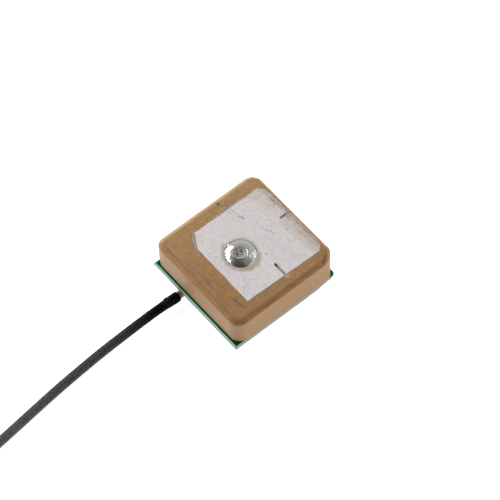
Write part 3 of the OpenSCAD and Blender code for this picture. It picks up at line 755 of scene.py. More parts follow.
def patch():
    y0, y1 = -4.2, 7.2
    hx = np.linspace(-math.pi / 2, -3 * math.pi / 2, 7)
    hy = np.linspace(0, -math.pi, 7)
    key = [(-5.55, -3.0), (-3.65, -4.17), (5.57, -4.23), (5.683, 1.33)]
    key += [(3.85 + 0.14 * math.cos(a), 1.4 + 0.14 * math.sin(a)) for a in hx]
    key += [(5.689, 1.48), (5.79, 6.45), (4.99, 7.12), (-0.53, 7.2)]
    key += [(-0.6 + 0.12 * math.cos(a), 5.94 + 0.12 * math.sin(a)) for a in hy]
    key += [(-0.67, 7.2), (-4.70, 7.08), (-5.50, 6.38)]
    P, N = resample(key, 0.045)
    x, y = P[:, 0], P[:, 1]
    slit = (smooth(3.5, 3.7, x) * (1 - smooth(0.2, 0.4, np.abs(y - 1.4)))
            + smooth(5.6, 5.8, y) * (1 - smooth(0.2, 0.4, np.abs(x + 0.6))))
    ragged = (0.10 * (fbm(x * 1.3, y * 1.3, 101, 3) - 0.5)
              + 0.085 * (fbm(x * 6, y * 6, 105, 3) - 0.5))
    worn = smooth(6.0, 6.9, y) + smooth(5.0, 5.3, -x)
    P = P + N * (ragged * (1 - 0.65 * np.clip(slit, 0, 1))
                 * (0.65 + 0.9 * np.clip(worn, 0, 1)) - 0.02)[:, None]
    n = len(P)
    b = Build()
    low = b.add(np.column_stack([P, np.full(n, TOP_Z0)]))
    mid = b.add(np.column_stack([P - N * 0.002, np.full(n, TOP_Z0 + 0.018)]))
    top = b.add(np.column_stack([P - N * 0.014, np.full(n, SILVER_Z)]))
    b.band(low, mid)
    b.band(mid, top)
    angle = np.linspace(0, 2 * np.pi, 49)[:-1]
    hole = np.column_stack([FEED[0] + 0.6 * np.cos(angle),
                            FEED[1] + 0.6 * np.sin(angle)])
    hl = b.add(np.column_stack([hole, np.full(48, TOP_Z0)]))
    ht = b.add(np.column_stack([hole, np.full(48, SILVER_Z)]))
    b.band(ht, hl)
    edge = P - N * 0.014
    loop = list(edge[::2]) + [edge[0]]
    extra = grid(-5.7, 5.9, -4.3, 7.3, 0.062)
    off = np.hypot(extra[:, 0] - FEED[0], extra[:, 1] - FEED[1])
    extra = extra[inside(extra, edge) & (off > 1.0)]
    d = near(extra, loop)
    extra, d = extra[d > 0.02], d[d > 0.02]
    b.cap([top, ht], extra, SILVER_Z, hole=(*FEED, 0.6))
    b.cap([low, hl], [], TOP_Z0, hole=(*FEED, 0.6))
    o = b.done("silver_patch", [patch_material()])
    V = np.array(b.v)
    xy = V[:, :2]
    dist = np.zeros(len(V))
    dist[-len(extra):] = d
    n1 = fbm(xy[:, 0] * 1.4, xy[:, 1] * 1.4, 111, 4)
    n2 = fbm(xy[:, 0] * 6, xy[:, 1] * 6, 115, 4)
    up = V[:, 2] > TOP_Z0 + 0.025
    back = smooth(6.3, 6.9, xy[:, 1])
    # painted shade along the patch's edge and on its thin sides, less on the +Y edge
    paint(o, "rim", np.where(up, (1 - smooth(0.0, 0.07, dist)) * (0.25 + 0.5 * n2)
                             * (1 - 0.9 * back), 0.7 - 0.5 * back))
    # bright raised rim along the +Y edge, and the dark line inside it
    right_part = smooth(-0.5, -0.1, xy[:, 0]) * (1 - smooth(4.7, 5.0, xy[:, 0]))
    paint(o, "lip", back * (0.25 + 0.6 * right_part) * np.where(
        up, 1 - smooth(0.02, 0.055, dist), 1.0) * (0.4 + 0.8 * n2))
    marks = [([(263, 189), (270, 195), (277, 202)], 0.45, 0.30),
             ([(271, 198), (276, 203)], 0.30, 0.45),
             ([(277, 202), (284, 209), (291, 216)], 0.40, 0.34),
             ([(289, 214), (300, 226), (311, 237), (319, 244)], 0.72, 0.50),
             ([(288, 222), (296, 229), (305, 238)], 0.95, 0.24),
             ([(310, 240), (317, 249)], 0.5, 0.16),
             ([(303, 232), (312, 240)], 0.60, 0.34),
             ([(306, 243), (313, 247)], 0.5, 0.22),
             ([(262, 192), (272, 204), (282, 214)], 0.9, 0.12),
             ([(285, 205), (289, 210)], 0.3, 0.30),
             ([(256, 196), (262, 197), (268, 202)], 1.0, 0.09),
             ([(235, 206), (244, 200), (252, 193)], 0.35, 0.10)]
    stain = strokes(xy, SILVER_Z, marks, 120) * (0.20 + 1.35 * n2)
    paint(o, "stain", np.clip(stain, 0, 0.85))
    marks = [([(257, 189.5), (264, 191.5), (271, 198)], 0.16, 0.24),
             ([(271.3, 199.5), (273.5, 201)], 0.13, 0.80),
             ([(274.6, 203), (274, 206)], 0.06, 0.60),
             ([(277, 203.3), (279.4, 205.2)], 0.09, 0.70),
             ([(279, 205), (277.5, 208)], 0.05, 0.5),
             ([(281, 206), (283, 208.3), (286, 210.5)], 0.08, 0.65),
             ([(284, 207.5), (287.5, 211.5)], 0.05, 0.6),
             ([(287, 213), (291, 214)], 0.07, 0.6),
             ([(285, 216), (289, 218)], 0.05, 0.5),
             ([(267, 197), (268, 198)], 0.05, 0.5),
             ([(276, 202), (283, 209), (290, 215)], 0.22, 0.34),
             ([(283, 206), (288, 211)], 0.18, 0.32),
             ([(290, 216), (298, 224), (306, 232)], 0.14, 0.16),
             ([(300, 226), (309, 234.5), (317, 242)], 0.17, 0.14),
             ([(288, 216), (294, 222)], 0.30, 0.14),
             ([(303, 232), (314, 243)], 0.36, 0.08),
             ([(286, 214), (291, 211)], 0.30, 0.34),
             ([(231, 202.5), (240, 200), (248, 194)], 0.14, 0.34),
             ([(310, 245), (316, 250)], 0.30, 0.22)]
    paint(o, "grime", np.clip(strokes(xy, SILVER_Z, marks, 125) * up
                              * (0.5 + 1.0 * n2), 0, 0.9))
    r = np.hypot(xy[:, 0] - MOUND[0], xy[:, 1] - MOUND[1])
    ring = (1 - smooth(1.96, 2.30, r + 0.25 * (n1 - 0.5))) * 0.50
    lobe = 1 - smooth(0.25, 0.74, near(xy, [px(236, 266.3, SILVER_Z),
                                            px(243, 268, SILVER_Z),
                                            px(250.5, 267.8, SILVER_Z),
                                            px(256, 262.5, SILVER_Z),
                                            px(257.5, 254.5, SILVER_Z)])
                      + 0.45 * (n1 - 0.5))
    left = 1 - smooth(0.12, 0.50, near(xy, [px(224.3, 246, SILVER_Z),
                                            px(223.3, 250, SILVER_Z),
                                            px(224, 258, SILVER_Z),
                                            px(232, 267, SILVER_Z)])
                      + 0.3 * (n1 - 0.5))
    crust = (1 - smooth(0.02, 0.09, np.abs(r - 1.94 - 0.06 * (n2 - 0.5)))) * 0.35
    # a faint yellow cast over the patch's far corner
    far = 1 - smooth(0.3, 1.9, near(xy, [px(257, 193, SILVER_Z),
                                         px(264, 196, SILVER_Z),
                                         px(270, 203, SILVER_Z)]))
    halo = np.maximum.reduce([ring, 0.66 * lobe * (0.7 + 0.6 * n1),
                              0.58 * left * (0.5 + n2), crust,
                              0.17 * far * (0.5 + n1)])
    paint(o, "halo", np.clip(halo * (0.75 + 0.5 * n2), 0, 0.8))
    marks = [
        ([(231, 209), (236, 213.5)], 0.036, 0.75),
        ([(228, 212), (233, 215)], 0.03, 0.50),
        ([(236, 214), (240, 214.5)], 0.03, 0.55),
        ([(238, 216.5), (241, 217.5), (244.5, 219)], 0.045, 0.80),
        ([(241, 216), (243, 218.2)], 0.04, 0.60),
        ([(240, 198), (245, 197), (250, 197), (254, 198.5), (258, 197.5),
          (261, 195)], 0.035, 0.50),
        ([(261, 227.4), (268, 230.6), (275, 233.2)], 0.036, 0.66),
        ([(250, 209), (258, 216), (267, 221)], 0.03, 0.26),
        ([(269.5, 219.5), (271.5, 220.5)], 0.06, 0.45),
        ([(203.5, 239), (202.5, 243), (200, 245)], 0.035, 0.32),
        ([(243, 293), (244, 289), (246, 285), (251, 280)], 0.032, 0.40),
        ([(249, 279), (260, 278)], 0.028, 0.30),
        ([(222, 243), (226, 240)], 0.02, 0.20),
        ([(247, 262), (262, 277)], 0.02, 0.14),
        ([(297, 205), (292, 212)], 0.03, 0.2),
        ([(217, 257)], 0.08, 0.50), ([(216, 228)], 0.06, 0.34),
        ([(247, 206)], 0.06, 0.34), ([(247, 231)], 0.05, 0.30),
        ([(265.5, 253.5), (266.5, 254.5)], 0.07, 0.50),
        ([(286, 228), (286.5, 229.5)], 0.07, 0.45), ([(288.5, 229)], 0.05, 0.35),
        ([(294, 245)], 0.06, 0.35), ([(264, 284), (266, 285)], 0.06, 0.3),
        ([(263, 282)], 0.05, 0.25), ([(298, 254)], 0.06, 0.25),
        ([(233, 268)], 0.05, 0.25), ([(207, 247)], 0.04, 0.25),
        ([(271.5, 199.6), (273.3, 200.7)], 0.08, 0.5),
        ([(278, 204), (279.5, 205.4)], 0.05, 0.5),
        ([(281, 205), (284.5, 208.4)], 0.05, 0.42),
        ([(286, 209.5), (290.5, 214)], 0.05, 0.40),
        ([(286, 216.5), (288.5, 214.5)], 0.05, 0.45),
        ([(287, 219), (290, 216.5)], 0.05, 0.40),
        ([(305, 235), (309, 238.5)], 0.05, 0.2),
        ([(262, 190.5), (266, 193.5)], 0.07, 0.25),
        ([(196, 249), (200, 252.5)], 0.05, 0.30),
        ([(256, 293.5), (252, 297), (249, 300.5)], 0.04, 0.30)]
    inner = np.exp(-((dist - 0.125) / 0.045) ** 2) * back * up
    inner = inner * (0.14 + 0.50 * right_part) * (0.4 + 1.1 * n2)
    paint(o, "mark", np.clip(np.maximum(
        strokes(xy, SILVER_Z, marks, 130) * up, inner), 0, 1))
    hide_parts("patch_electrode")


patch()

# ---------------------------------------------------- solder and the pin

SOLDER = (0.74, 0.73, 0.71)


def solder_material(name, rough, base=SOLDER, flux=0.12, uneven=1.0, shade=None):
    m = Mat(name, base, rough, 1.0)
    a = m.noise(0.35, 3, 0.6)
    g = m.noise(0.08, 2, 0.5)
    col = m.mix(m.range(a, 0.35, 0.7, 0, flux * 2), base, times(base, 0.62))
    if shade:
        col = m.mix(m.attr(shade), col, (0.045, 0.042, 0.032))
    m.link("Base Color", col)
    m.link("Roughness", m.range(a, 0.3, 0.7, rough * 0.7, rough * 1.5))
    m.bump(a, 0.03 * uneven, 0.35)
    m.bump(g, 0.006 * uneven, 0.4)
    return m.m


# height of the mound at equal steps from its foot in to the pin's head
STEEP = np.interp(np.linspace(0, 1, 101), (0, 0.04, 0.12, 0.45, 0.8, 1),
                  (0.95, 0.70, 0.46, 0.37, 0.28, 0.18))
RISE = np.concatenate([[0], np.cumsum((STEEP[1:] + STEEP[:-1]) / 200)])


def mound():
    turns = 240
    angle = np.linspace(0, 2 * np.pi, turns + 1)[:-1]
    ca, sa = np.cos(angle), np.sin(angle)
    wobble = 0.012 * np.sin(2 * angle + 0.6) + 0.016 * (
        fbm(ca * 2.3 + 5, sa * 2.3 + 5, 151, 3) - 0.5)
    # which way a point lies as the photograph shows it
    tilt = np.degrees(np.arctan2(ca * down.x + sa * down.y,
                                 ca * right.x + sa * right.y))
    facets = smooth(-38, -15, tilt) * (1 - smooth(38, 62, tilt))
    lefts = smooth(112, 135, np.abs(tilt))
    b = Build()
    rings, edge = [], []
    steps = [0, 0.015, 0.03, 0.05, 0.07, 0.095] + list(np.linspace(0.12, 0.95, 44)) \
        + [0.965, 0.98, 0.99, 1.0]
    for t in steps:
        r = (1.925 + (0.915 - 1.925) * t) * (1 + wobble * (1 - t))
        x = MOUND[0] + (HEAD[0] - MOUND[0]) * t + r * ca
        y = MOUND[1] + (HEAD[1] - MOUND[1]) * t + r * sa
        z = SILVER_Z + np.interp(t, np.linspace(0, 1, 101), RISE)
        w = smooth(0, 0.3, t) * (1 - 0.6 * smooth(0.75, 1, t))
        z = z + w * (0.030 * (fbm(x * 0.9 + 3, y * 0.9, 155, 2) - 0.5)
                     + 0.012 * (fbm(x * 2.6, y * 2.6, 158, 3) - 0.5))
        crease = np.abs(fbm(x * 3.0 + 1.3, y * 3.0, 161, 2) - 0.5)
        z = z + facets * smooth(0.03, 0.2, t) * (1 - smooth(0.9, 1, t)) * (
            0.055 * crease + 0.028 * (fbm(x * 5.5, y * 5.5, 164, 2) - 0.5))
        z = z + lefts * smooth(0.02, 0.12, t) * (1 - smooth(0.9, 1, t)) * (
            0.030 * (fbm(x * 2.4 + 7, y * 2.4, 167, 2) - 0.5)
            + 0.014 * (fbm(x * 5.2, y * 5.2 + 3, 169, 2) - 0.5))
        # a groove where the solder wets the head of the pin
        z = z - 0.05 * smooth(0.955, 0.99, t)
        rings.append(b.add(np.column_stack([x, y, z])))
        foot = (1 - smooth(0.05, 0.12, t)) * np.maximum(
            0.9 * (1 - smooth(-12, 4, tilt)) * smooth(-152, -135, tilt),
            0.25 + 0.6 * smooth(45, 75, tilt) * (1 - smooth(115, 140, tilt)))
        crust = lefts * (1 - smooth(0.12, 0.24, t)) * 0.75 * smooth(
            0.44, 0.54, fbm(x * 5.5, y * 5.5, 181, 2))
        below = smooth(25, 60, tilt) * (1 - smooth(140, 165, tilt))
        # painted shadow in the groove below the pin's head, and painted shade along the
        # head's rim, most on its left
        seam = np.maximum(smooth(0.94, 0.975, t) * (0.05 + 0.5 * lefts),
                          0.95 * below * smooth(0.89, 0.93, t))
        edge.append(np.maximum.reduce([foot, crust, seam]))
    for a, d in zip(rings[:-1], rings[1:]):
        b.band(a, d)
    low = b.add([(HEAD[0] + 0.915 * c, HEAD[1] + 0.915 * s, SILVER_Z)
                 for c, s in zip(ca, sa)])
    b.band(rings[-1], low)
    b.band(low, rings[0])
    edge.append(np.full(turns, 0.8))
    o = b.done("solder_mound", [solder_material("bright_solder", 0.05, uneven=0.35,
                                                shade="shade")])
    paint(o, "shade", np.concatenate(edge))
    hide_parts("feed_solder")


def pin():
    turns = 144
    angle = np.linspace(0, 2 * np.pi, turns + 1)[:-1]
    ca, sa = np.cos(angle), np.sin(angle)
    b = Build()
    rings = []
    top = 7.06
    pits = [(px(237.4, 254, top), 0.14, -0.016), (px(241.6, 250.6, top), 0.14, -0.014),
            (px(239.4, 252.6, top), 0.11, 0.008), (px(236, 248.8, top), 0.10, -0.005),
            (px(238.8, 258.0, top), 0.12, 0.006)]
    prof = curve3((0.880, 6.99), (0.903, 7.090), (0.82, 7.084), 8)
    for r, z in prof:
        rings.append(b.add(np.column_stack([HEAD[0] + r * ca, HEAD[1] + r * sa,
                                            np.full(turns, z)])))
    for r in list(np.linspace(0.78, 0.03, 30)):
        x, y = HEAD[0] + r * ca, HEAD[1] + r * sa
        z = np.full(turns, 7.042 + 0.026 * (r / 0.82) ** 2
                    + 0.016 * float(smooth(0.58, 0.77, r)))
        z = z + 0.006 * (fbm(x * 3, y * 3, 171, 3) - 0.5) * smooth(0.8, 0.6, r)
        for (cx, cy), w, deep in pits:
            z = z + deep * np.exp(-((x - cx) ** 2 + (y - cy) ** 2) / w ** 2)
        rings.append(b.add(np.column_stack([x, y, z])))
    for a, d in zip(rings[:-1], rings[1:]):
        b.band(a, d)
    centre = b.add([(*HEAD, 7.046)])[0]
    b.fan(rings[-1], centre)
    # under the head, and the shank through block and board
    last = rings[0]
    for r, z, u in [(0.895, 6.95, 1), (0.895, 6.80, 1), (0.86, 6.742, 1),
                    (0.50, 6.738, 0), (0.45, 6.70, 0), (0.45, 4.0, 0),
                    (0.45, 1.0, 0), (0.43, 0.90, 0), (0.36, 0.855, 0)]:
        at = HEAD if u else FEED
        ring = b.add([(at[0] + r * c, at[1] + r * s, z) for c, s in zip(ca, sa)])
        b.band(ring, last)
        last = ring
    b.fan(last, b.add([(*FEED, 0.85)])[0])
    m = Mat("tinned_pin", (0.60, 0.60, 0.59), 0.26, 1.0)
    a = m.noise(0.22, 4, 0.6)
    col = m.mix(m.range(a, 0.35, 0.65), (0.49, 0.49, 0.48), (0.59, 0.59, 0.58))
    col = m.mix(m.attr("shade"), col, (0.13, 0.105, 0.085))
    m.link("Base Color", col)
    m.link("Roughness", m.range(a, 0.3, 0.7, 0.20, 0.34))
    m.bump(a, 0.004, 0.5)
    o = b.done("nail_pin", [m.m])
    xy = np.array(b.v)[:, :2]
    # dark marks in the head's two pits, part stain and part painted shade, and painted shade
    # along the head's left rim
    marks = [([(237.0, 253.4), (237.7, 254.9)], 0.12, 1.0),
             ([(236.7, 250.4), (237.5, 255.6)], 0.17, 0.36),
             ([(241.2, 250.0), (241.9, 251.6)], 0.12, 0.88),
             ([(238.5, 255.0), (240.5, 254.6)], 0.07, 0.35),
             ([(240.3, 251.3), (241, 253)], 0.05, 0.40),
             ([(235.4, 248.3), (236.6, 249)], 0.05, 0.55),
             ([(233, 250), (232.5, 254), (234, 257.5)], 0.06, 0.30)]
    paint(o, "shade", np.clip(strokes(xy, top, marks, 175), 0, 1))
    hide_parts("feed_pin")


mound()
pin()

# ---------------------------------------------------------- circuit board

def board():
    P, N = outline(0, -0.1, 14.8, 15, (0.55, 0.06, 0.06, 0.06), 0.075)
    n = len(P)
    x, y = P[:, 0], P[:, 1]
    b = Build()
    ids = []
    levels = [(0.035, 1.80), (0.006, 1.812), (0, 1.84)]
    levels += [(0, z) for z in np.linspace(1.90, 2.50, 9)]
    levels += [(0, 2.56), (0.006, 2.588), (0.035, 2.60)]
    # a burr where the board was snapped off its panel
    burr = 1 - smooth(0.05, 0.55, np.hypot(x + 7.4, y + 7.6))
    broken = smooth(4.6, 6.0, y) * smooth(6.3, 6.9, x)
    tip = 1 - smooth(0.1, 0.9, np.hypot(x - 7.35, y - 7.35))
    for inset, z in levels:
        p = P - N * inset
        p = p - N * (0.115 * broken * (1 - smooth(1.85, 2.5, z)))[:, None]
        p = p + np.outer(tip * smooth(2.0, 2.4, z), (0.05, 0.06))
        p = p + np.outer(burr * smooth(1.85, 2.3, z) * (1 - 0.9 * smooth(2.42, 2.58, z)),
                         (-0.07, -0.19))
        cut = 0.05 * (fbm(x * 0.7, y * 0.7, 201, 3) - 0.5) \
            + 0.030 * (fbm(x * 4 + z * 9, y * 4 - z * 7, 205, 3) - 0.5)
        p = p + N * (cut + 0.012)[:, None]
        ids.append(b.add(np.column_stack([p, np.full(n, z)])))
    for k, (a, d) in enumerate(zip(ids[:-1], ids[1:])):
        b.band(a, d, 1)
    angle = np.linspace(0, 2 * np.pi, 49)[:-1]
    hole = np.column_stack([FEED[0] + 0.52 * np.cos(angle),
                            FEED[1] + 0.52 * np.sin(angle)])
    low = b.add(np.column_stack([hole, np.full(48, 1.8)]))
    high = b.add(np.column_stack([hole, np.full(48, 2.6)]))
    b.band(high, low, 1)
    edge = np.array([b.v[i][:2] for i in ids[-1]])
    extra = grid(-7.4, 7.4, -7.6, 7.4, 0.5, 0)
    off = np.hypot(extra[:, 0] - FEED[0], extra[:, 1] - FEED[1]) > 0.7
    keep = inside(extra, edge) & (near(extra, list(edge[::3]) + [edge[0]]) > 0.1) & off
    b.cap([ids[-1], high], extra[keep], 2.6, 0, hole=(*FEED, 0.52))
    b.cap([ids[0], low], extra[keep], 1.8, 0, hole=(*FEED, 0.52))

    green = (0.001, 0.115, 0.055)
    m = Mat("green_mask", green, 0.38, Specular_IOR_Level=0.06)
    a = m.noise(0.5, 3, 0.6)
    weave = m.node("TexWave", {"Vector": m.stretch(1, 1, 0.01),
                               "Scale": 1 / (2.2 * MM), "Distortion": 2.0,
                               "Detail": 2.0, "Detail Scale": 3.0},
                   bands_direction="DIAGONAL").outputs["Fac"]
    col = m.mix(m.range(a, 0.3, 0.7), (0.0006, 0.095, 0.045), (0.0015, 0.135, 0.066))
    col = m.mix(m.range(weave, 0.2, 0.8, 0, 0.12), col, (0.004, 0.20, 0.11))
    # painted contact shadow on the mask at the block's foot, along the -Y side
    foot = m.calc("MULTIPLY", m.range(m.axis(1), -7.38 * MM, -7.50 * MM, 0.75, 0),
                  m.range(m.axis(2), 2.5 * MM, 2.58 * MM))
    col = m.mix(foot, col, (0.0004, 0.018, 0.010))
    # painted light on the mask at the board's -X corner
    col = m.mix(m.range(m.axis(0), -7.16 * MM, -7.34 * MM, 0, 0.8), col,
                (0.004, 0.22, 0.125))
    # painted light on the mask at the far +X+Y corner
    col = m.mix(m.calc("MULTIPLY", m.range(m.axis(0), 6.6 * MM, 7.0 * MM),
                       m.range(m.axis(1), 6.3 * MM, 6.8 * MM, 0, 0.8)), col,
                (0.012, 0.25, 0.125))
    m.link("Base Color", col)
    m.link("Roughness", m.range(a, 0.3, 0.7, 0.30, 0.48))
    m.bump(m.noise(0.12, 2, 0.5), 0.006, 0.4)
    e = Mat("board_edge", srgb(150, 165, 150), 0.75)
    z = e.axis(2)
    layer = e.node("TexNoise", {"Vector": e.stretch(0.06, 0.06, 1),
                                "Scale": 1 / (0.11 * MM), "Detail": 3.0,
                                "Roughness": 0.6}).outputs["Fac"]
    fibre = e.noise(0.14, 4, 0.7)
    col = e.mix(e.range(layer, 0.35, 0.65), srgb(104, 108, 98), srgb(158, 160, 148))
    glass = e.calc("MULTIPLY", e.range(z, 2.18 * MM, 2.34 * MM),
                   e.range(e.noise(0.9, 3, 0.7, e.stretch(1, 1, 0.05)),
                           0.30, 0.42, 0.55, 1))
    col = e.mix(glass, col, srgb(164, 200, 180))
    grey = e.mix(e.range(layer, 0.35, 0.65), srgb(84, 86, 77), srgb(134, 135, 125))
    sheet = e.calc("MULTIPLY", e.range(z, 2.10 * MM, 2.20 * MM),
                   e.range(e.noise(0.9, 3, 0.7, e.stretch(1, 1, 0.05)),
                           0.30, 0.42, 0.55, 1))
    grey = e.mix(sheet, grey, srgb(184, 187, 177))
    # painted shadow under the block's overhang, along the top of the +X edge
    grey = e.mix(e.range(z, 2.34 * MM, 2.44 * MM, 0, 0.97), grey, srgb(62, 60, 48))
    col = e.mix(e.range(e.axis(0), 7.25 * MM, 7.34 * MM, 0, 0.85), col, grey)
    col = e.mix(e.range(fibre, 0.3, 0.7, 0.35, 0), col, srgb(112, 124, 108))
    col = e.mix(e.range(e.axis(1), 5.4 * MM, 6.8 * MM, 0, 0.6), col,
                e.mix(e.range(e.noise(0.10, 4, 0.7), 0.38, 0.62),
                      srgb(130, 134, 124), srgb(214, 218, 208)))
    col = e.mix(e.range(z, 2.56 * MM, 2.59 * MM, 0, 0.5), col, srgb(30, 120, 88))
    col = e.mix(e.range(z, 1.84 * MM, 1.90 * MM, 0.6, 0), col, srgb(96, 110, 92))
    col = e.mix(e.attr("grime"), col, srgb(120, 118, 108))
    e.link("Base Color", col)
    e.bump(fibre, 0.02, 0.6)
    e.bump(layer, 0.015, 0.5)
    o = b.done("green_board", [m.m, e.m])
    V = np.array(b.v)
    by_lead = 1 - smooth(0.25, 0.75, np.abs(V[:, 0] + 2.75))
    grime = by_lead * (V[:, 1] < -7.3) * (0.5 + 0.6 * fbm(
        V[:, 0] * 6, V[:, 2] * 6, 211, 3))
    paint(o, "grime", np.clip(grime, 0, 0.85))
    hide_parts("circuit_board")


board()

# --------------------------------------------------------- the free lead
# the route's numbers are those of the construction

D = 1.13
JR = D / 2
TIE = 0.1
COIL = (-7.8, -41.6)
COIL_R, GAP = 6.2, 1.2
OUT_R, IN_R = COIL_R + GAP / 2, COIL_R - GAP / 2
COIL_Z = TIE + JR
STACK_Z = COIL_Z + math.sqrt(D * D - GAP * GAP / 4)
STRIP_Z = 1.8 - 0.035 - 0.46
LEAD_X, JACKET_Y = -2.75, -7.95


def ease(t):
    t = min(max(t, 0), 1)
    return t * t * (3 - 2 * t)


def on_coil(a, r, z):
    a = math.radians(-a)
    return (COIL[0] + r * math.cos(a), COIL[1] + r * math.sin(a), z)


lead = [(LEAD_X, JACKET_Y, STRIP_Z), (LEAD_X, -8.35, STRIP_Z),
        (-2.78, -9.1, 1.3), (-2.82, -10, 1.28),
        (-2.87, -11.2, 1.22), (-2.91, -13.2, 1.1), (-2.95, -16.1, 0.87),
        (-2.94, -19.1, 0.66), (-2.77, -22.3, 0.57), (-2.5, -25.6, 0.565),
        (-2.15, -28.9, 0.565), (-1.75, -32.2, 0.565), (-1.45, -34.8, 0.57),
        (-1.2, -37.2, 0.6), (-1.05, -39.4, 0.64)]
turns = []
a = 0.0
while a < 250 + 360:
    t = ease((a - 250) / 75)
    turns.append(on_coil(a, OUT_R + t * (IN_R - OUT_R), COIL_Z))
    a += 12.5
tail = []
a = 610.0
while a <= 797.6:
    t, u = ease((a - 610) / 75), ease((a - 755) / 42)
    tail.append(on_coil(a, IN_R + t * (COIL_R - IN_R) - u * 0.4,
                        COIL_Z + t * (STACK_Z - COIL_Z)
                        + u * (TIE + D + 0.715 - STACK_Z)))
    a += 12.5
END_A = 797.5
tail_dir = math.radians(-END_A - 90)
END = on_coil(END_A, COIL_R - 0.4, TIE + D + 0.715)
tip = (END[0] + 1.25 * math.cos(tail_dir), END[1] + 1.25 * math.sin(tail_dir), END[2])
ROUTE = np.array(lead + turns + tail + [tip])


def flow(points, step):
    """A smooth line through the points, at even steps."""
    p = np.vstack([2 * points[0] - points[1], points, 2 * points[-1] - points[-2]])
    out = []
    for i in range(1, len(p) - 2):
        p0, p1, p2, p3 = p[i - 1:i + 3]
        t0 = 0.0
        t1 = t0 + np.linalg.norm(p1 - p0) ** 0.5
        t2 = t1 + np.linalg.norm(p2 - p1) ** 0.5
        t3 = t2 + np.linalg.norm(p3 - p2) ** 0.5
        for t in np.linspace(t1, t2, 24, endpoint=False):
            a1 = (t1 - t) / (t1 - t0) * p0 + (t - t0) / (t1 - t0) * p1
            a2 = (t2 - t) / (t2 - t1) * p1 + (t - t1) / (t2 - t1) * p2
            a3 = (t3 - t) / (t3 - t2) * p2 + (t - t2) / (t3 - t2) * p3
            b1 = (t2 - t) / (t2 - t0) * a1 + (t - t0) / (t2 - t0) * a2
            b2 = (t3 - t) / (t3 - t1) * a2 + (t - t1) / (t3 - t1) * a3
            out.append((t2 - t) / (t2 - t1) * b1 + (t - t1) / (t2 - t1) * b2)
    out = np.array(out + [p[-2]])
    s = np.concatenate([[0], np.cumsum(np.linalg.norm(np.diff(out, axis=0), axis=1))])
    at = step(s[-1])
    return np.column_stack([np.interp(at, s, out[:, k]) for k in range(3)]), at


def frames(path):
    """Tangents and two steady normals along a line."""
    t = np.gradient(path, axis=0)
    t /= np.linalg.norm(t, axis=1)[:, None]
    up = np.zeros_like(t)
    up[0] = np.cross(np.cross(t[0], (0, 0, 1)), t[0])
    up[0] /= np.linalg.norm(up[0])
    for i in range(1, len(t)):
        u = up[i - 1] - t[i] * (up[i - 1] @ t[i])
        up[i] = u / np.linalg.norm(u)
    return t, np.cross(t, up), up


def tube(b, path, radius, sides, slot=0, ends=True):
    """Adds a tube along a line; radius is a number or one per ring, or one
    per ring and side."""
    t, side, up = frames(path)
    a = np.linspace(0, 2 * np.pi, sides + 1)[:-1]
    r = np.asarray(radius, float)
    if r.ndim == 0:
        r = np.full(len(path), float(r))
    if r.ndim == 1:
        r = np.repeat(r[:, None], sides, axis=1)
    rings = []
    for i in range(len(path)):
        rings.append(b.add(path[i] + r[i][:, None] * (
            np.cos(a)[:, None] * side[i] + np.sin(a)[:, None] * up[i])))
    for p, q in zip(rings[:-1], rings[1:]):
        b.band(p, q, slot)
    if ends:
        b.fan(rings[0], b.add([path[0]])[0], slot)
        b.fan(rings[-1], b.add([path[-1]])[0], slot)
    return rings


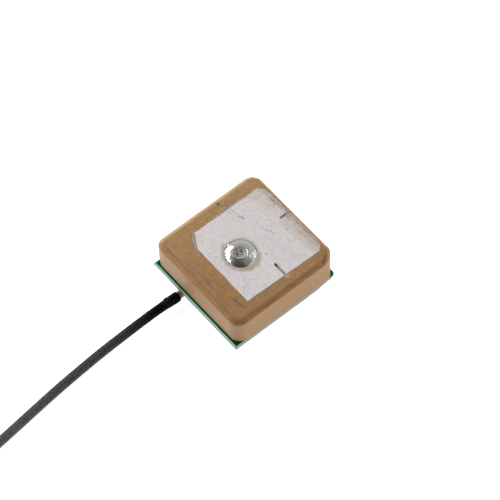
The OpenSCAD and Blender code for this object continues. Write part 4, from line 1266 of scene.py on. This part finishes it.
def jacket():
    def step(total):
        near_end = np.concatenate([np.linspace(0, 0.26, 8), np.arange(0.32, 4, 0.07),
                                   np.arange(4, 34, 0.14)])
        return np.concatenate([near_end, np.linspace(34, total, 400)])
    path, s = flow(ROUTE, step)
    sides = 26
    r = np.full(len(s), JR)
    r += 0.075 * (1 - smooth(0.4, 2.9, s))           # pushed back and swollen
    cut = np.clip(1 - s / 0.24, 0, 1)
    r -= 0.17 * (1 - np.sqrt(1 - cut ** 2))          # rounded at the cut
    r += 0.010 * (fbm(s * 0.35, s * 0, 301, 3) - 0.5)
    a = np.linspace(0, 2 * np.pi, sides + 1)[:-1]
    A, S = np.meshgrid(a, s)
    R = np.repeat(r[:, None], sides, axis=1)
    early = (1 - smooth(3.5, 7, S)) * smooth(0.0, 0.3, S)
    R += 0.05 * (fbm(np.cos(A) * 1.6 + S * 1.1, np.sin(A) * 1.6 + 4, 305, 3) - 0.5) * early
    R += 0.010 * (fbm(np.cos(A) * 3 + S * 2.4, np.sin(A) * 3 + 8, 309, 2) - 0.5)
    # a nub of torn jacket on its upper left
    lean = (1 + np.cos(A - NUB_A)) / 2
    R += 0.09 * np.exp(-((S - NUB_S) / 0.16) ** 2) * lean ** 12
    R += 0.03 * np.exp(-((S - 1.25) / 0.35) ** 2) * ((1 + np.cos(A - 1.4)) / 2) ** 4
    b = Build()
    rings = tube(b, path, R, sides, ends=False)
    # the open cut: jacket wall, then a hollow down to the braid
    t, side, up = frames(path)
    lip = []
    for rad, back in ((0.455, -0.005), (0.45, 0.25)):
        c = path[0] + t[0] * back
        lip.append(b.add(c + rad * (np.cos(a)[:, None] * side[0]
                                    + np.sin(a)[:, None] * up[0])))
    b.band(lip[0], rings[0])
    b.band(lip[1], lip[0])
    b.fan(lip[1], b.add([path[0] + t[0] * 0.25])[0])
    b.fan(rings[-1], b.add([path[-1]])[0])
    o_s = np.concatenate([np.repeat(s, sides), np.zeros(2 * sides + 2)])

    m = Mat("black_jacket", (0.003, 0.003, 0.003), 0.42, Specular_IOR_Level=0.035)
    fine = m.noise(0.16, 4, 0.65)
    dust_and_sheen = m.noise(0.22, 5, 0.75)
    grain = m.noise(0.05, 2, 0.6)
    grey = m.range(dust_and_sheen, 0.34, 0.66, 0.20, 1.05)
    # real dust and painted sheen: grey over the black jacket
    col = m.mix(m.calc("MULTIPLY", m.attr("dust_and_sheen"), grey),
                (0.0012, 0.0012, 0.0014), (0.168, 0.170, 0.178))
    specks = m.range(m.cells(0.5), 0.0, 0.10, 0.5, 0)
    col = m.mix(m.calc("MULTIPLY", specks, m.attr("dust_and_sheen")), col,
                (0.15, 0.15, 0.145))
    bits = m.range(m.cells(0.36, vector=m.stretch(1, 1, 1, (0.01, 0, 0))),
                   0.0, 0.17, 1.0, 0)
    col = m.mix(m.calc("MULTIPLY", bits, m.attr("bits")), col, (0.30, 0.31, 0.30))
    m.link("Base Color", col)
    m.link("Roughness", m.range(fine, 0.3, 0.7, 0.36, 0.56))
    m.bump(fine, 0.012, 0.5)
    m.bump(grain, 0.006, 0.4)
    o = b.done("lead_jacket", [m.m])
    # painted sheen: grey grows with distance from the antenna and fades again on the coil, a
    # little more at the nub
    far = 0.46 * smooth(2.5, 11, o_s) + 0.42 * smooth(8, 30, o_s) \
        - 0.38 * smooth(36, 60, o_s)
    nub = 0.05 * np.exp(-((o_s - NUB_S) / 0.5) ** 2)
    paint(o, "dust_and_sheen", np.clip(0.004 + far + nub, 0, 1))
    paint(o, "bits", 0.75 * smooth(0.6, 1.3, o_s) * (1 - smooth(3.0, 5.0, o_s)))
    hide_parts("coax_lead", "coax_coil", "coax_tail")
    return o, path


NUB_S, NUB_A = 1.55, 0.44
cable, PATH = jacket()


def braid():
    """Bare braid between the jacket and its solder: strands that pass over
    and under each other, over a dark core of painted shade."""
    y0, y1 = JACKET_Y - 0.2, -6.30
    b = Build()
    m = 60
    y = np.linspace(y0, y1, m)
    pitch = 3.2
    for k in range(14):
        for way in (1, -1):
            a = way * 2 * np.pi * (y - y0) / pitch + 2 * np.pi * k / 14
            over = 0.018 * np.cos(7 * (a * way) + (0 if way > 0 else math.pi))
            r = 0.425 + over + 0.010 * (fbm(y * 2 + k, y * 0 + way, 401, 2) - 0.5)
            for off in (-0.05, 0.0, 0.05):
                aa = a + off / 0.43
                p = np.column_stack([LEAD_X + r * np.cos(aa), y,
                                     STRIP_Z + r * np.sin(aa)])
                tube(b, p[::2], 0.022, 5)
    # the dark core: painted shade between the strands
    base = np.column_stack([np.full(12, LEAD_X), np.linspace(y0, y1, 12),
                            np.full(12, STRIP_Z)])
    tube(b, base, 0.40, 32, 1)
    # strands that stand away where the jacket was cut, bent to the board
    for a0, reach, bend in ((0.9, 0.55, 0.35), (1.5, 0.62, 0.42), (2.1, 0.5, 0.30),
                            (2.6, 0.45, 0.2), (0.4, 0.42, 0.22), (1.2, 0.5, 0.5),
                            (1.85, 0.5, 0.48)):
        t = np.linspace(0, 1, 9)
        rr = 0.45 + bend * t ** 1.6
        yy = JACKET_Y + 0.02 + reach * 0.58 * t
        p = np.column_stack([LEAD_X + rr * np.cos(a0 + 0.3 * t), yy,
                             STRIP_Z + rr * np.sin(a0 + 0.3 * t)])
        keep = (p[:, 2] < 1.77) | (p[:, 1] < -7.66)
        tube(b, p[keep], 0.022, 5)
    m1 = Mat("tinned_braid", (0.50, 0.49, 0.46), 0.38, 0.9)
    n = m1.noise(0.10, 3, 0.6)
    m1.link("Base Color", m1.mix(m1.range(n, 0.40, 0.60), (0.045, 0.042, 0.026),
                                 (0.54, 0.51, 0.41)))
    m1.bump(n, 0.01, 0.5)
    m2 = Mat("braid_shade", (0.06, 0.055, 0.05), 0.6, 0.6)
    m2.link("Base Color", m2.mix(m2.noise(0.1, 2), (0.03, 0.03, 0.028),
                                 (0.11, 0.10, 0.09)))
    o = b.done("braid_weave", [m1.m, m2.m])
    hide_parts("coax_braid")
    return o


weave = braid()

# ------------------------------------------------------------ shield can

def can():
    b = Build()
    cx, cy, x, y = 0, 1.6, 12.8, 10.2
    P, N = outline(cx, cy, x, y, (0.6,) * 4, 0.16)
    n = len(P)
    s, e, top = 0.2, 0.3, 1.765
    prof = [(e * (1 - math.sin(t)), e * (1 - math.cos(t)))
            for t in np.linspace(0, math.pi / 2, 9)]
    prof += [(0, z) for z in np.linspace(0.45, 1.70, 8)] + [(0.01, 1.745), (0.035, top)]
    inner = [(s - 0.03, top), (s - 0.005, 1.745)] + [(s, z) for z in np.linspace(1.6, 0.5, 4)]
    q = 0.15
    inner += [(s + q * (1 - math.sin(t)), s + q * (1 - math.cos(t)))
              for t in np.linspace(math.pi / 2, 0, 6)]
    ids = []
    for inset, z in prof + inner:
        p = P - N * inset
        if 0.4 < z < top and inset < 0.05:
            w = 0.020 * (fbm(p[:, 0] * 0.5 + z, p[:, 1] * 0.5, 501, 2) - 0.5) - 0.01
            p = p + N * w[:, None]
        ids.append(b.add(np.column_stack([p, np.full(n, z)])))
    for a, d in zip(ids[:-1], ids[1:]):
        b.band(a, d)
    b.cap([ids[0]], grid(-6, 6, -3.1, 6.3, 0.8), 0.0)
    b.cap([ids[-1]], grid(-5.8, 5.8, -2.9, 6.1, 1.2), s)
    o = b.done("tin_can", [])
    # the gap in its wall over the output track
    cut = Build()
    x0, x1, y0, y1 = -3.65, -1.85, -3.9, -3.0
    z0, z1 = 1.165, 2.2
    r = 0.12
    pts = [(x0, z1), (x1, z1)] + [(x1 - r + r * math.cos(t), z0 + r - r * math.sin(t))
                                  for t in np.linspace(0, math.pi / 2, 6)]
    pts += [(x0 + r - r * math.sin(t), z0 + r - r * math.cos(t))
            for t in np.linspace(0, math.pi / 2, 6)]
    f = cut.add([(px_, y0, pz) for px_, pz in pts])
    g = cut.add([(px_, y1, pz) for px_, pz in pts])
    cut.band(f, g)
    cut.f += [tuple(f), tuple(reversed(g))]
    cut.s += [0, 0]
    c = cut.done("can_cut", [])
    mod = o.modifiers.new("gap", "BOOLEAN")
    mod.object, mod.operation, mod.solver = c, "DIFFERENCE", "EXACT"
    dep = bpy.context.evaluated_depsgraph_get()
    me = bpy.data.meshes.new_from_object(o.evaluated_get(dep))
    o.modifiers.clear()
    o.data = me
    bpy.data.objects.remove(c)
    m = Mat("tinplate", (0.50, 0.50, 0.48), 0.28, 1.0)
    drawn = m.noise(0.05, 4, 0.7, m.stretch(0.03, 1, 1))
    cloud = m.noise(2.4, 4, 0.6)
    fine = m.noise(0.25, 3, 0.6)
    col = m.mix(m.range(cloud, 0.35, 0.65), (0.36, 0.35, 0.33), (0.50, 0.50, 0.48))
    col = m.mix(m.range(drawn, 0.35, 0.65, 0.30, 0), col, (0.24, 0.235, 0.22))
    edge_z = m.range(m.axis(2), 1.35 * MM, 1.75 * MM, 0, 0.5)
    col = m.mix(m.calc("MULTIPLY", edge_z, m.range(fine, 0.4, 0.6)), col,
                (0.42, 0.36, 0.24))
    m.link("Base Color", col)
    m.link("Roughness", m.range(cloud, 0.3, 0.7, 0.2, 0.4))
    m.bump(drawn, 0.006, 0.5)
    m.bump(fine, 0.01, 0.3)
    me.materials.clear()
    me.materials.append(m.m)
    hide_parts("shield_can")


can()

# ------------------------------- finer copies of small parts that show

def refine(node, name, mats, width, segments=2, angle=35, pick=None):
    """A copy of a node with its edges broken and its faces smooth."""
    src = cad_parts[node]
    bm = bmesh.new()
    bm.from_mesh(src.data)
    bmesh.ops.remove_doubles(bm, verts=bm.verts, dist=0.000002)
    bmesh.ops.dissolve_limit(bm, angle_limit=math.radians(0.6), verts=bm.verts,
                             edges=bm.edges)
    me = bpy.data.meshes.new(name)
    bm.to_mesh(me)
    bm.free()
    o = bpy.data.objects.new(name, me)
    scene.collection.objects.link(o)
    mod = o.modifiers.new("edges", "BEVEL")
    mod.width, mod.segments = width * MM, segments
    mod.limit_method, mod.angle_limit = "ANGLE", math.radians(angle)
    mod.use_clamp_overlap = True
    mod.harden_normals = False
    dep = bpy.context.evaluated_depsgraph_get()
    new = bpy.data.meshes.new_from_object(o.evaluated_get(dep))
    o.modifiers.clear()
    o.data = new
    o.data.materials.clear()
    for m in mats:
        o.data.materials.append(m)
    bm = bmesh.new()
    bm.from_mesh(new)
    for f in bm.faces:
        f.smooth = True
    for e in bm.edges:
        if len(e.link_faces) == 2 and e.calc_face_angle(0) > math.radians(50):
            e.smooth = False
    if pick:
        for f in bm.faces:
            f.material_index = pick(f)
    bm.to_mesh(new)
    bm.free()
    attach(o, "root")
    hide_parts(node)
    return o


def gold(name, base=(0.86, 0.62, 0.28), rough=0.24):
    m = Mat(name, base, rough, 1.0)
    a = m.noise(0.4, 4, 0.6)
    f = m.noise(0.06, 3, 0.6)
    m.link("Base Color", m.mix(m.range(a, 0.35, 0.65), times(base, 0.78), base))
    m.link("Roughness", m.range(f, 0.3, 0.7, rough * 0.75, rough * 1.4))
    m.bump(f, 0.006, 0.4)
    m.bump(a, 0.015, 0.3)
    return m.m


def moulded(name, base, rough=0.45, speck=0.15):
    m = Mat(name, base, rough, Subsurface_Weight=0.0)
    a = m.noise(0.3, 4, 0.6)
    f = m.noise(0.05, 3, 0.6)
    col = m.mix(m.range(a, 0.3, 0.7), times(base, 0.86), times(base, 1.05))
    col = m.mix(m.range(f, 0.55, 0.8, 0, speck), col, times(base, 0.5))
    m.link("Base Color", col)
    m.link("Roughness", m.range(a, 0.3, 0.7, rough * 0.8, rough * 1.25))
    m.bump(f, 0.006, 0.4)
    return m.m


def paper(name):
    m = Mat(name, (0.72, 0.71, 0.68), 0.85)
    a = m.noise(0.22, 5, 0.7)
    f = m.noise(0.04, 3, 0.7, m.stretch(1, 1, 0.3))
    col = m.mix(m.range(a, 0.3, 0.7), (0.60, 0.59, 0.56), (0.78, 0.77, 0.74))
    col = m.mix(m.range(f, 0.5, 0.8, 0, 0.25), col, (0.45, 0.44, 0.41))
    m.link("Base Color", col)
    m.bump(a, 0.03, 0.5)
    m.bump(f, 0.01, 0.5)
    return m.m


shell = refine("plug_shell", "plug_sleeve", [gold("plug_plating", (0.80, 0.66, 0.42))],
               0.04, 3)
seat = refine("plug_insulator", "plug_seat",
              [moulded("plug_plastic", (0.74, 0.72, 0.66))], 0.03)
contact = refine("plug_contact", "plug_pin", [gold("contact_plating")],
                 0.015)
tie = refine("coil_tie", "paper_tie", [paper("tie_paper")], 0.03, 2)

# ------------------------------------------ the nodes carried over as made

def assign(node, mat):
    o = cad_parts[node]
    if not o.data.materials:
        o.data.materials.append(mat)
    for k in range(len(o.data.materials)):
        o.data.materials[k] = mat


def adhesive():
    m = Mat("adhesive", (0.60, 0.58, 0.50), 0.5)
    a = m.noise(0.5, 4, 0.6)
    m.link("Base Color", m.mix(m.range(a, 0.3, 0.7), (0.50, 0.48, 0.40),
                               (0.66, 0.64, 0.56)))
    m.bump(a, 0.01, 0.4)
    return m.m


def copper_core():
    m = Mat("silvered_copper", (0.80, 0.70, 0.60), 0.25, 1.0)
    a = m.noise(0.12, 3, 0.6)
    m.link("Base Color", m.mix(m.range(a, 0.3, 0.7), (0.70, 0.52, 0.40),
                               (0.82, 0.78, 0.72)))
    m.bump(a, 0.006, 0.4)
    return m.m


tin = solder_material("tinned_copper", 0.30, (0.70, 0.69, 0.66))
joint = solder_material("dull_solder", 0.22, (0.62, 0.61, 0.59), 0.25)
assign("ground_electrode", solder_material("ground_silver", 0.45, (0.72, 0.70, 0.69)))
assign("adhesive_film", adhesive())
assign("contact_pads", tin)
for name in ("pin_solder_joint", "braid_solder", "centre_solder", "shield_solder"):
    assign(name, joint)
assign("amplifier_body", moulded("black_package", (0.025, 0.025, 0.027), 0.5))
assign("amplifier_leads", tin)
assign("component_end_caps", tin)
assign("filter_base", moulded("filter_ceramic", (0.62, 0.57, 0.46), 0.55))
assign("filter_lid", gold("filter_plating", (0.80, 0.70, 0.46), 0.3))
assign("chip_capacitors", moulded("capacitor_body", (0.34, 0.22, 0.13), 0.5))
assign("chip_resistors", moulded("resistor_body", (0.04, 0.04, 0.045), 0.4))
assign("chip_inductors", moulded("inductor_body", (0.52, 0.60, 0.64), 0.45))
assign("coax_dielectric", moulded("white_dielectric", (0.80, 0.79, 0.76), 0.4, 0.05))
assign("centre_conductor", copper_core())

bpy.context.view_layer.update()
